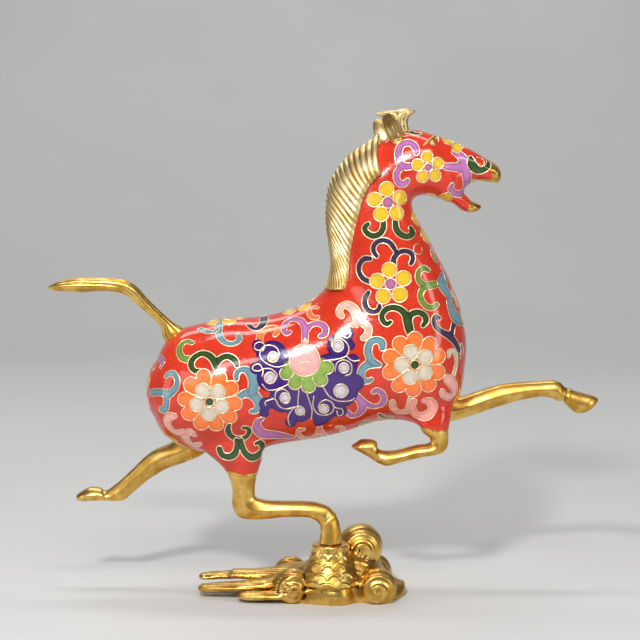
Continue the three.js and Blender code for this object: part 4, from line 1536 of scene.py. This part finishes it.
PALE_SHADES = (linear(236, 212, 160), linear(202, 168, 106), linear(84, 58, 26))
# painted highlight: the wires' gold is painted almost white, for the glint that their polished tops catch
WIRE_GLINT_SHADES = (linear(248, 228, 196), linear(236, 208, 166), linear(170, 130, 90))
gilding = gilding_material("gilding", GILT_BRIGHT, GILT_WORN, linear(74, 46, 16), 0.27)
pale_gilding = gilding_material("pale_gilding", *PALE_SHADES, 0.34)
glinting_wire_gilding = gilding_material("glinting_wire_gilding", *WIRE_GLINT_SHADES, 0.34)
print(len((gilding, pale_gilding, glinting_wire_gilding)), "gildings made")

# %% [markdown]
# ## The wires
# The wires are thin flat strips soldered on edge, and polished level with the enamel. Each outline
# is pressed onto the skin, cut away where a later cell covers it, and given a small raised section.
# The wires that bound no cell are pressed in the same way, and nothing is cut from them.

# %% Press the wires onto the skin
WIRE_WIDTH = 0.54  # mm
WIRE_HEIGHT = 0.1  # mm above the enamel
WIRE_SHOULDER = WIRE_HEIGHT * 0.75
WIRE_ROOT = 0.14  # mm below the enamel
WIRE_SECTION = np.array([
    (-0.5, -WIRE_ROOT),
    (-0.4, WIRE_SHOULDER),
    (0, WIRE_HEIGHT),
    (0.4, WIRE_SHOULDER),
    (0.5, -WIRE_ROOT),
])  # across, as a share of the width, and up in mm
WIRE_STEP = 0.55  # mm between the rings of a wire
WIRE_JUMP = 1.6  # mm between two places where the line has jumped over an edge
WIRE_JOIN = 1.0  # mm between the two ends of a line that closes
HIDDEN_DEPTH = 0.16  # mm inside another cell where a wire is cut away
OWN_DEPTH = 0.07  # mm inside its own cell where an outline is cut away


def covered(points, normals, index):
    """Whether each place is inside a later cell, or inside another cell of the same group."""
    hidden = np.zeros(len(points), bool)
    group = cells[index]["group"]
    for k, cell in enumerate(cells):
        if k == index or (k < index and cell["group"] != group):
            continue
        for side in sides_of(cell):
            turn = np.array([1, side, 1])
            hidden |= cell_depth(cell, points * turn, normals * turn) > HIDDEN_DEPTH
    return hidden


# %% Cut the wires into runs
def runs_of(found, keep):
    """Splits a pressed line where a point is missing or hidden."""
    run, runs = [], []
    for place, kept in zip(found, keep):
        if run and place is not None and np.linalg.norm(place[0] - run[-1][0]) > WIRE_JUMP:
            runs.append(run)
            run = []
        if place is not None and kept:
            run.append(place)
        elif run:
            runs.append(run)
            run = []
    if run:
        runs.append(run)
    whole = found[0] is not None and found[-1] is not None and keep[0] and keep[-1]
    if len(runs) > 1 and whole and np.linalg.norm(runs[0][0][0] - runs[-1][-1][0]) < WIRE_JOIN:
        runs[0] = runs.pop() + runs[0][1:]
    return [run for run in runs if len(run) >= 3]


def strip(run):
    """Rings of a thin raised strip along a run of places on the skin."""
    points = np.array([p for p, _ in run])
    normals = np.array([n for _, n in run])
    along = np.gradient(points, axis=0)
    across = np.cross(along, normals)
    across /= np.linalg.norm(across, axis=1)[:, None] + 1e-9
    sideways = across[:, None] * WIRE_SECTION[None, :, :1] * WIRE_WIDTH
    upwards = normals[:, None] * WIRE_SECTION[None, :, 1:]
    return points[:, None] + (sideways + upwards)


def outline_wires(index, outline):
    """The strips along an outline of a cell, where no other cell hides them."""
    cell = cells[index]
    line = evenly_spaced(outline, WIRE_STEP, 4)
    distance = np.linalg.norm(line[:, None] - cell["centres"][None], axis=2)
    inside = (cell["radii"] - distance).max(1) > OWN_DEPTH
    strips = []
    for side in sides_of(cell):
        found = cell["patch"].press(line, side)
        hidden = inside.copy()
        known = [k for k, place in enumerate(found) if place is not None]
        if known:
            points, normals = (np.array(part) for part in zip(*(found[k] for k in known)))
            hidden[known] |= covered(points, normals, index)
        strips += [strip(run) for run in runs_of(found, ~hidden)]
    return strips


def loose_wires(patch, line):
    """The strips along a wire that bounds no cell, on both sides of the horse."""
    line = evenly_spaced(line, WIRE_STEP, 4)
    keep = [True] * len(line)
    return [strip(run) for side in (1, -1) for run in runs_of(patch.press(line, side), keep)]


def pressed_wires():
    strips = []
    for index, cell in enumerate(cells):
        for outline in cell["outlines"]:
            strips += outline_wires(index, outline)
    for patch, line in extra_wires:
        strips += loose_wires(patch, line)
    return strips


# %% Make the wires
def joined_skins(skins):
    """Many closed skins as one list of points and faces."""
    points, faces, start = [], [], 0
    for part_points, part_faces in skins:
        points.append(part_points)
        faces += [tuple(k + start for k in face) for face in facing_out(part_points, part_faces)]
        start += len(part_points)
    return np.vstack(points), faces


wire_rings = pressed_wires()
wire_length = sum(np.linalg.norm(np.diff(r[:, 2], axis=0), axis=1).sum() for r in wire_rings)
wire_mesh = make_mesh("wires", *joined_skins([skin(rings) for rings in wire_rings]))
store(wire_mesh, "hollow", "FLOAT", np.full(len(wire_mesh.vertices), 0.4))
place_piece("wires", wire_mesh, glinting_wire_gilding, "body")
print("wire", round(wire_length / 1000, 2), "m")

# %% [markdown]
# ## Eyes
# Each eye of the real one is a round gilt boss under a raised lid, all of the body's own metal. A ball
# that is partly sunk in the skin gives the boss. The lid is a round bar along a curve through places
# that are seen from the camera, and it thins towards both ends.

# %% Make the eyes
EYE_RADIUS = 1.7  # mm
EYE_SUNK = 0.75  # mm from the skin in to the middle of the eyeball
EYE_SIDES = 40
LID_SIDES = 14
LID_STEP = 0.25  # mm between the rings of a lid
EYE_PLACE, EYE_NORMAL = seen(432.8, 142.6)
LID = [(423, 145.6), (427.5, 142), (432, 138.8), (435.8, 137), (438.4, 138.8), (438.4, 142)]


def eyeball(side):
    angle = np.linspace(0, 2 * math.pi, EYE_SIDES, endpoint=False)
    middle = EYE_PLACE - EYE_SUNK * EYE_NORMAL
    rings = []
    for polar in np.linspace(0.04, math.pi - 0.04, 24):
        wide = np.sin(polar)
        ring = [np.full(EYE_SIDES, math.cos(polar)), wide * np.cos(angle), wide * np.sin(angle)]
        rings.append((middle + EYE_RADIUS * np.stack(ring, -1)) * [1, side, 1])
    return skin(rings)


def tube(line, radii, outwards):
    """A round bar along a line of points; outwards is where each of its rings starts."""
    along = np.gradient(line, axis=0)
    along /= np.linalg.norm(along, axis=1)[:, None]
    out = outwards - along * (along * outwards).sum(1)[:, None]
    out /= np.linalg.norm(out, axis=1)[:, None]
    across = np.cross(along, out)
    angle = np.linspace(0, 2 * math.pi, LID_SIDES, endpoint=False)[None, :, None]
    rings = out[:, None] * np.cos(angle) + across[:, None] * np.sin(angle)
    return line[:, None] + rings * radii[:, None, None]


def eyelid(side):
    places = [seen(px, py) for px, py in LID]
    line = curve_through([place for place, _ in places], LID_STEP)
    share = np.linspace(0, 1, len(line))
    radii = 0.2 + 0.6 * np.sin(math.pi * share**0.8) ** 0.7
    rings = tube(line, radii, np.tile([0, -1.0, 0.15], (len(line), 1)))
    return skin(rings * [1, side, 1])


eye_mesh = make_mesh("eyes", *joined_skins([eyeball(1), eyeball(-1), eyelid(1), eyelid(-1)]))
hollowness(eye_mesh, 6, 0.3)
place_piece("eyes", eye_mesh, pale_gilding, "body")

# %% [markdown]
# ## The mane
# The mane is one casting over the crest of the neck. Its strands run from the crest down and
# forwards to each side, steeply low on the neck and straight across it at the top. The surface is a
# fine grid: along the crest the height rises and falls with the strands, across it the casting thins
# towards its lower edges, and the lowest strands are cut off level where the neck meets the back.

# %% Make the mane
MANE_STRANDS = 28
MANE_CREST = 3.2  # mm thick along the crest
MANE_EDGE = 1.1  # mm thick at the lower edges
MANE_LINING = -0.8  # mm from the neck's surface to the inner side of the casting
STRAND_DEPTH = 0.36  # mm
MANE_TOP = 23.7  # rows of the body's plan
MANE_BOTTOM = 11.2
MANE_EASE = 0.22  # how much closer the strands stand at the top
MANE_SWEEP = (2.3, 1.4)  # rows that a strand runs back over, low and high on the neck
MANE_BEND = 1.5
MANE_END = 126.2  # mm, the height where the lowest strands are cut off
ROWS_PER_STRAND = 11
MANE_COLUMNS = 66


def mane_reach(u):
    """How far round the neck the mane reaches on each side."""
    return np.radians(38 + 40 * smoothstep(u, 14.5, 23))


def mane_points(crest_u, share, lift):
    """Points over the neck, by the strand's place on the crest and the share of the way down."""
    sweep = MANE_SWEEP[0] + (MANE_SWEEP[1] - MANE_SWEEP[0]) * smoothstep(crest_u, 16, 22)
    u = crest_u - sweep * np.abs(share) ** MANE_BEND
    made = sections(BODY_PLAN, u.ravel()).reshape(*u.shape, 6)
    surface = swollen(section_points(made, mane_reach(u) * share, body_lean(u)))
    middle = np.stack([made[..., 0], made[..., 5], made[..., 1]], -1)
    outwards = surface - middle
    outwards /= np.linalg.norm(outwards, axis=-1)[..., None]
    return surface + outwards * lift[..., None]


def mane_skin():
    rows = MANE_STRANDS * ROWS_PER_STRAND
    across = np.linspace(-1, 1, MANE_COLUMNS + 1)
    progress, share = np.meshgrid(np.arange(rows + 1) / rows, across, indexing="ij")
    eased = progress + MANE_EASE * progress * (1 - progress)
    crest_u = MANE_BOTTOM + (MANE_TOP - MANE_BOTTOM) * eased
    ridge = np.abs(np.sin(math.pi * progress * MANE_STRANDS)) ** 0.7 * 2 - 1
    taper = 0.2 + 0.8 * smoothstep(progress, 0, 0.24)
    thickness = MANE_EDGE + (MANE_CREST * taper - MANE_EDGE) * (1 - share**2)
    lift = (thickness + ridge * STRAND_DEPTH) * (1 - smoothstep(np.abs(share), 0.94, 1.0) * 0.6)
    ragged = share * (1 + 0.012 * ridge)
    outer = mane_points(crest_u, ragged, lift)
    inner_u, inner_share = np.meshgrid(crest_u[:, 0], np.linspace(0.97, -0.97, 13), indexing="ij")
    inner = mane_points(inner_u, inner_share, np.full(inner_u.shape, MANE_LINING))
    return skin(np.concatenate([outer, inner], 1))


def cut_level(mesh, height):
    """Cuts everything below a height away and closes the cut."""
    shape = bmesh.new()
    shape.from_mesh(mesh)
    everything = shape.verts[:] + shape.edges[:] + shape.faces[:]
    place = (0, 0, height * MM)
    bmesh.ops.bisect_plane(shape, geom=everything, plane_co=place, plane_no=(0, 0, -1), clear_outer=True)
    rim = [edge for edge in shape.edges if edge.is_boundary]
    bmesh.ops.contextual_create(shape, geom=rim)
    bmesh.ops.triangulate(shape, faces=[face for face in shape.faces if len(face.verts) > 4])
    shape.to_mesh(mesh)
    shape.free()
    mesh.polygons.foreach_set("use_smooth", [True] * len(mesh.polygons))
    mesh.update()
    return mesh


mane_mesh = cut_level(make_mesh("mane", *mane_skin()), MANE_END)
hollowness(mane_mesh, 8, 0.15)
place_piece("gilt_mane", mane_mesh, pale_gilding, "mane")

# %% [markdown]
# ## Legs
# A cast leg shows flat planes with soft edges where the founder's tools cleaned it, so its section
# is between a circle and a hexagon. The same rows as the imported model's give its outline. A thin
# raised band with a groove above it marks the top of each hoof.

# %% Make the legs
LEG_GRID = (56, 150)  # sides and rings
LEG_PLANES = 6
PLANE_STRENGTH = 0.55  # 0 would be a circle and 1 a sharp hexagon


def planed(u, angle):
    """A radius that turns a circle into a soft-edged polygon."""
    step = 2 * math.pi / LEG_PLANES
    within = np.mod(angle + step / 2, step) - step / 2
    flat = math.cos(step / 2) / np.cos(within)
    return 1 + PLANE_STRENGTH * (flat - 1) + 0 * u


def hoofed(crown):
    """A planed leg with a raised band round the top of the hoof, which lies at row "crown"."""
    def shape(u, angle):
        ridge = np.exp(-(((u - crown) / 0.13) ** 2))
        groove = 0.7 * np.exp(-(((u - crown + 0.34) / 0.13) ** 2))
        return planed(u, angle) * (1 + 0.07 * (ridge - groove))
    return shape


def leg_piece(name, node, plan, y, crown):
    mesh = make_mesh(name, *loft(plan, *LEG_GRID, y=y, shape=hoofed(crown)))
    hollowness(mesh, 12, 0.25)
    place_piece(name, mesh, gilding, node)


# the last number of each is the row of its plan at the top of the hoof
leg_piece("standing_leg", "leg_hind_right", STANDING_LEG_PLAN, -LEG_OFFSET, 10.6)
leg_piece("trailing_leg", "leg_hind_left", TRAILING_LEG_PLAN, LEG_OFFSET, 7.7)
leg_piece("reaching_leg", "leg_front_left", REACHING_LEG_PLAN, LEG_OFFSET, 9.5)
leg_piece("folded_leg", "leg_front_right", FOLDED_LEG_PLAN, -LEG_OFFSET, 8.6)

# %% [markdown]
# ## Tail and forelock
# Both are cast locks of hair. A groove between two strands is a dip in the radius of the loft, and
# the grooves turn a little on their way, as twisted hair does. The forelock is two such locks, one
# swept forwards and one back, that a Boolean joins at the root.

# %% Make the tail and the forelock
TAIL_GRID = (72, 160)  # sides and rings
LOCK_GRID = (56, 60)
TWIST = 0.35  # turn of the grooves from row to row


def stranded(count, depth):
    """A lock of hair with a number of strands; depth is the grooves' share of its radius."""
    def shape(u, angle):
        return 1 - depth * (1 - np.abs(np.sin(count / 2 * angle + TWIST * u)) ** 0.6)
    return shape


tail_mesh = make_mesh("tail", *loft(TAIL_PLAN, *TAIL_GRID, shape=stranded(5, 0.16)))
hollowness(tail_mesh, 10, 0.2)
place_piece("gilt_tail", tail_mesh, gilding, "tail")

lock_plans = (FORWARD_LOCK_PLAN, BACKWARD_LOCK_PLAN)
locks = [make_mesh("lock", *loft(plan, *LOCK_GRID, shape=stranded(6, 0.14))) for plan in lock_plans]
forelock_mesh = joined_mesh("forelock", locks)
hollowness(forelock_mesh, 8, 0.15)
place_piece("gilt_forelock", forelock_mesh, pale_gilding, "forelock")

# %% [markdown]
# ## Ears
# Each ear is a small cupped leaf with a raised rim, cast and soldered on. Its section is an arc at the
# back and a hollow at the front; both shrink to nothing at the tip, so a stack of sections closes it.

# %% Make the ears
EAR_WIDTH = 6.6  # mm
EAR_BACK = 2.2  # mm from the middle of the leaf to its back
EAR_HOLLOW = 1.5  # mm
EAR_RIM = 0.5  # mm
EAR_OFFSET = 6.6  # mm from the middle plane to each ear's foot
EARS = {
    "ear_right": {"side": -1, "x": 38.8, "z": 184, "height": 13.8, "lean": -0.44, "tilt": 0.18},
    "ear_left": {"side": 1, "x": 34.5, "z": 183.2, "height": 12.2, "lean": -0.42, "tilt": 0.5},
}


def ear_leaf(height):
    """An upright cupped leaf, its hollow facing -y, and how deep each point lies in the hollow."""
    t = (0.5 - 0.5 * np.cos(np.linspace(0.12, math.pi - 0.1, 90)))[:, None]
    oval = np.sqrt(4 * t * (1 - t))
    half = EAR_WIDTH / 2 * oval**0.9 * (1.1 - 0.22 * t)
    turn = np.linspace(0, math.pi, 41)[None]
    back = np.stack([half * np.cos(turn), EAR_BACK * oval * np.sin(turn) ** 0.8, t + 0 * turn], -1)
    across = np.linspace(-1, 1, 82)[None, 1:-1]
    rim = EAR_RIM * np.exp(-(((np.abs(across) - 0.88) / 0.09) ** 2))
    cup = EAR_HOLLOW * np.clip(1 - np.abs(across / 0.82) ** 3.5, 0, 1)
    fold = 0.7 * np.exp(-(((across - 0.1) / 0.16) ** 2) - ((t - 0.42) / 0.12) ** 2)
    fold += 0.5 * np.exp(-(((across - 0.35) / 0.2) ** 2) - ((t - 0.2) / 0.07) ** 2)
    inside = smoothstep(t, 0.05, 0.14) * (1 - smoothstep(t, 0.86, 0.96))
    rim_end = smoothstep(t, 0.01, 0.05) * (1 - smoothstep(t, 0.97, 1.0))
    front = np.stack([half * across, (cup - fold) * inside - rim * rim_end, t + 0 * across], -1)
    points = np.concatenate([back, front], 1)
    points[..., 2] *= height
    sunk = np.clip(cup / EAR_HOLLOW * 1.1 - fold * 0.5, 0, 1) * inside
    return points, np.concatenate([np.zeros_like(back[..., 0]), sunk], 1)


def ear_points(leaf, side, x, z, lean, tilt):
    """The leaf of an ear leaned back and tilted out, both in radians, at its place on the head."""
    points = leaf * [1, -side, 1]
    y = points[..., 1] * math.cos(tilt) + side * points[..., 2] * math.sin(tilt)
    up = -side * points[..., 1] * math.sin(tilt) + points[..., 2] * math.cos(tilt)
    turned = points[..., 0] * math.cos(lean) + up * math.sin(lean)
    raised = up * math.cos(lean) - points[..., 0] * math.sin(lean)
    return np.stack([turned + x, y + side * EAR_OFFSET, raised + z], -1)


for node, form in EARS.items():
    leaf, sunk = ear_leaf(form.pop("height"))
    points, faces = skin(ear_points(leaf, **form))
    ear_mesh = make_mesh(node, points, faces)
    ends = np.zeros(len(points) - sunk.size)
    # painted shade and patina: the cup's depth is stored as hollowness, so the gilding darkens its inside
    store(ear_mesh, "hollow", "FLOAT", np.concatenate([0.3 + 0.42 * sunk.ravel(), ends]))
    place_piece(f"gilt_{node}", ear_mesh, pale_gilding, node)

# %% [markdown]
# ## The base
# The base is one casting: a smooth mass with a stump for the hoof, round cloud puffs at its foot and
# wisps that trail behind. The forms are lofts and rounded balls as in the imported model. A voxel
# remesh melts them into one skin, smoothing rounds the seams, and the chased lines are then raised
# on that skin by formulas: a spiral on most puffs, flowing lines on the wisps, small curls between.

# %% The forms of the base
PAD_HEIGHT = 23.2  # mm, where the hoof stands
PAD_RADIUS = 7.6  # mm
VOXEL = 0.42  # mm
RING_SIDES = 72
# x, height of the upper face, half width and y of each section
MASS = [
    [-22, 4, 3, -2],
    [-10, 9.5, 10, -3],
    [0, 13, 14, -4],
    [8, 19, 16, -5],
    [16, 22.5, 17, -3],
    [23.4, 22.4, 17, 0],
    [30.2, 14.8, 16, 0],
    [35.2, 8.4, 13, 0],
    [39.6, 5.2, 9, 0],
    [42.4, 2.5, 0, 0],
]
STUMP_PROFILE = [(7.3, 0), (7.9, 4), (10.4, 10), (13.5, 16)]  # radius and depth below the top
STUMP_DEPTH = 16
STUMP_PLACE = (11.6, -LEG_OFFSET)
PUFFS = [
    (23.8, 1, 19.4, 9.2, 11),
    (-3.5, -12.5, 5, 8, 7.5),
    (30.2, -13.5, 5.4, 8.2, 8),
    (-4.5, 12, 4.6, 7.6, 7.5),
    (29, 13.5, 5.4, 8.2, 8),
    (13, 15, 4, 7.8, 7.5),
    (13.5, -16, 2.5, 7.5, 6.5),
]  # x, y, z, radius and half width
WISPS = [
    ([(4, 13.6, 0), (-14, 9.9, 1), (-28.4, 9.1, 2)], 6.5, 4.6),
    ([(6, 9.3, 9), (-17, 7.4, 10), (-41, 6.4, 7)], 6, 3.4),
    ([(6, 11.6, -5), (-18, 7, -7), (-40.6, 4.6, -5)], 6.5, 4.2),
    ([(6, 7.5, -13), (-10, 4.6, -15.5), (-24, 3.6, -15)], 6, 3.8),
]  # root, middle and end as x, height of the upper face and y, then half width and thickness


# %% Balls, bars and wisps
def ring_stack(radii, heights, place):
    """Level rings round an upright line."""
    turn = np.linspace(0, 2 * math.pi, RING_SIDES, endpoint=False)[None]
    radii, heights = radii[:, None], heights[:, None]
    x = place[0] + radii * np.cos(turn)
    y = place[1] + radii * np.sin(turn)
    return np.stack([x, y, heights + 0 * turn], -1)


def mass_form():
    """The low mass; its sections reach as far below the ground, where the base is cut level."""
    rows = [[x, z, x, -z if half else z, half, y] for x, z, half, y in MASS]
    return loft(rows, 90, 130)


def stump_form():
    depth = np.linspace(0, STUMP_DEPTH, 30)
    radii = np.interp(depth, [d for _, d in STUMP_PROFILE], [r for r, _ in STUMP_PROFILE])
    return skin(ring_stack(radii, PAD_HEIGHT - depth, STUMP_PLACE))


def puff_form(x, y, z, radius, half_width):
    polar = np.linspace(0.05, math.pi - 0.05, 40)
    ball = ring_stack(np.sin(polar), np.cos(polar), (0, 0))
    return skin(ball * [radius, half_width, radius] + [x, y, z])


def wisp_form(places, half_width, thickness):
    """A flat wisp that gets narrower and thinner from place to place and ends in a tip."""
    rows = []
    for k, (x, top, y) in enumerate(places):
        share = 1 - 0.19 * k
        rows.append([x, top, x, top - thickness * share, half_width * share, y])
    x, top, y = places[-1]
    tip = [x - 1.8, top - thickness * 0.35]
    return loft([*rows, [*tip, *tip, 0, y]], 48, 90)


def melted(forms):
    """One skin round several overlapping closed forms."""
    made = bpy.data.objects.new("melted", make_mesh("melted", *joined_skins(forms)))
    bpy.context.scene.collection.objects.link(made)
    modifier = made.modifiers.new("melt", "REMESH")
    modifier.mode = "VOXEL"
    modifier.voxel_size = VOXEL * MM
    mesh = bpy.data.meshes.new_from_object(made.evaluated_get(bpy.context.evaluated_depsgraph_get()))
    bpy.data.objects.remove(made)
    return mesh


# %% [markdown]
# Chasing is the work of small punches on the cold casting. Each kind of line is a formula that
# gives a height at every place: it is largest on the line and fades away beside it. The points of
# the melted skin are then moved out by the sum of these heights.

# %% The chased lines of the base
SPIRAL_PUFFS = PUFFS[:5]  # the last two show too little to carry one
SPIRAL_TURNS = 1.9
CURL_ROW = 3.5  # mm from one row of arcs to the next
CURLS_ROUND = 13  # arcs in a row round the stump


def spiral_line(points):
    """Height of the raised spiral on the two faces of each puff."""
    height = np.zeros(len(points))
    for x, y, z, radius, half_width in SPIRAL_PUFFS:
        offset = (points - [x, y, z]) / [radius, half_width, radius]
        reach = np.hypot(offset[:, 0], offset[:, 2])
        near = np.abs(np.linalg.norm(offset, axis=1) - 1) < 0.12
        near &= np.abs(offset[:, 1]) > 0.25
        turn = np.arctan2(offset[:, 2], offset[:, 0]) / (2 * math.pi)
        distance = np.full(len(points), 9.0)
        for k in range(-1, 4):
            progress = (turn + 0.2 + k) / SPIRAL_TURNS
            line = 0.9 - 0.8 * progress
            gap = np.where((progress > 0) & (progress < 1), np.abs(reach - line) * radius, 9)
            distance = np.minimum(distance, gap)
        ridge = 0.6 * np.exp(-((distance / 0.55) ** 2))
        groove = 0.2 * np.exp(-(((distance - 1.4) / 0.4) ** 2))
        height += near * (ridge - groove)
    return height


def flow_lines(points):
    """Lines along the wisps and the tail of the mass."""
    x, y, z = points.T
    phase = 0.62 * z + 0.34 * y + 0.05 * x
    ridge = 0.34 * np.abs(np.sin(math.pi * phase)) ** 0.6
    return ridge * (1 - smoothstep(x, -6, 3)) * smoothstep(z, 0.5, 2)


def curls(points):
    """Small overlapping arcs round the stump."""
    x, y, z = points.T
    turn = np.arctan2(y - STUMP_PLACE[1], x - STUMP_PLACE[0]) / (2 * math.pi) * CURLS_ROUND
    row = np.floor(z / CURL_ROW)
    across = np.mod(turn + 0.5 * np.mod(row, 2), 1) - 0.5
    reach = np.hypot(across, (z / CURL_ROW - row) * 0.8)
    away = np.hypot(x - STUMP_PLACE[0], y - STUMP_PLACE[1])
    band = smoothstep(away, 6.8, 7.6) * (1 - smoothstep(away, 16, 19)) * smoothstep(z, 4, 7)
    on_puff = np.zeros(len(points), bool)
    for *middle, radius, half_width in PUFFS:
        offset = (points - middle) / [radius, half_width, radius]
        on_puff |= np.linalg.norm(offset, axis=1) < 1.1
    return 0.3 * np.exp(-(((reach - 0.5) / 0.09) ** 2)) * band * ~on_puff * smoothstep(x, -4, 4)


# %% Make the base
def base_mesh():
    """The melted forms with their chased lines, level on top of the stump and underneath."""
    forms = [mass_form(), stump_form()]
    forms += [puff_form(*puff) for puff in PUFFS] + [wisp_form(*wisp) for wisp in WISPS]
    mesh = melted(forms)
    points, normals = mesh_arrays(mesh)
    ends = edge_ends(mesh)
    points = smoothed(points, ends, 8)
    height = spiral_line(points) + flow_lines(points) + curls(points)
    points = smoothed(points + normals * height[:, None], ends, 1)
    pad = np.hypot(points[:, 0] - STUMP_PLACE[0], points[:, 1] - STUMP_PLACE[1]) < PAD_RADIUS
    points[pad, 2] = np.minimum(points[pad, 2], PAD_HEIGHT)
    mesh.vertices.foreach_set("co", (points * MM).ravel())
    mesh.update()
    return cut_level(mesh, 0)


cloud_mesh = base_mesh()
hollowness(cloud_mesh, 12, 0.25)
place_piece("gilt_base", cloud_mesh, gilding, "base")
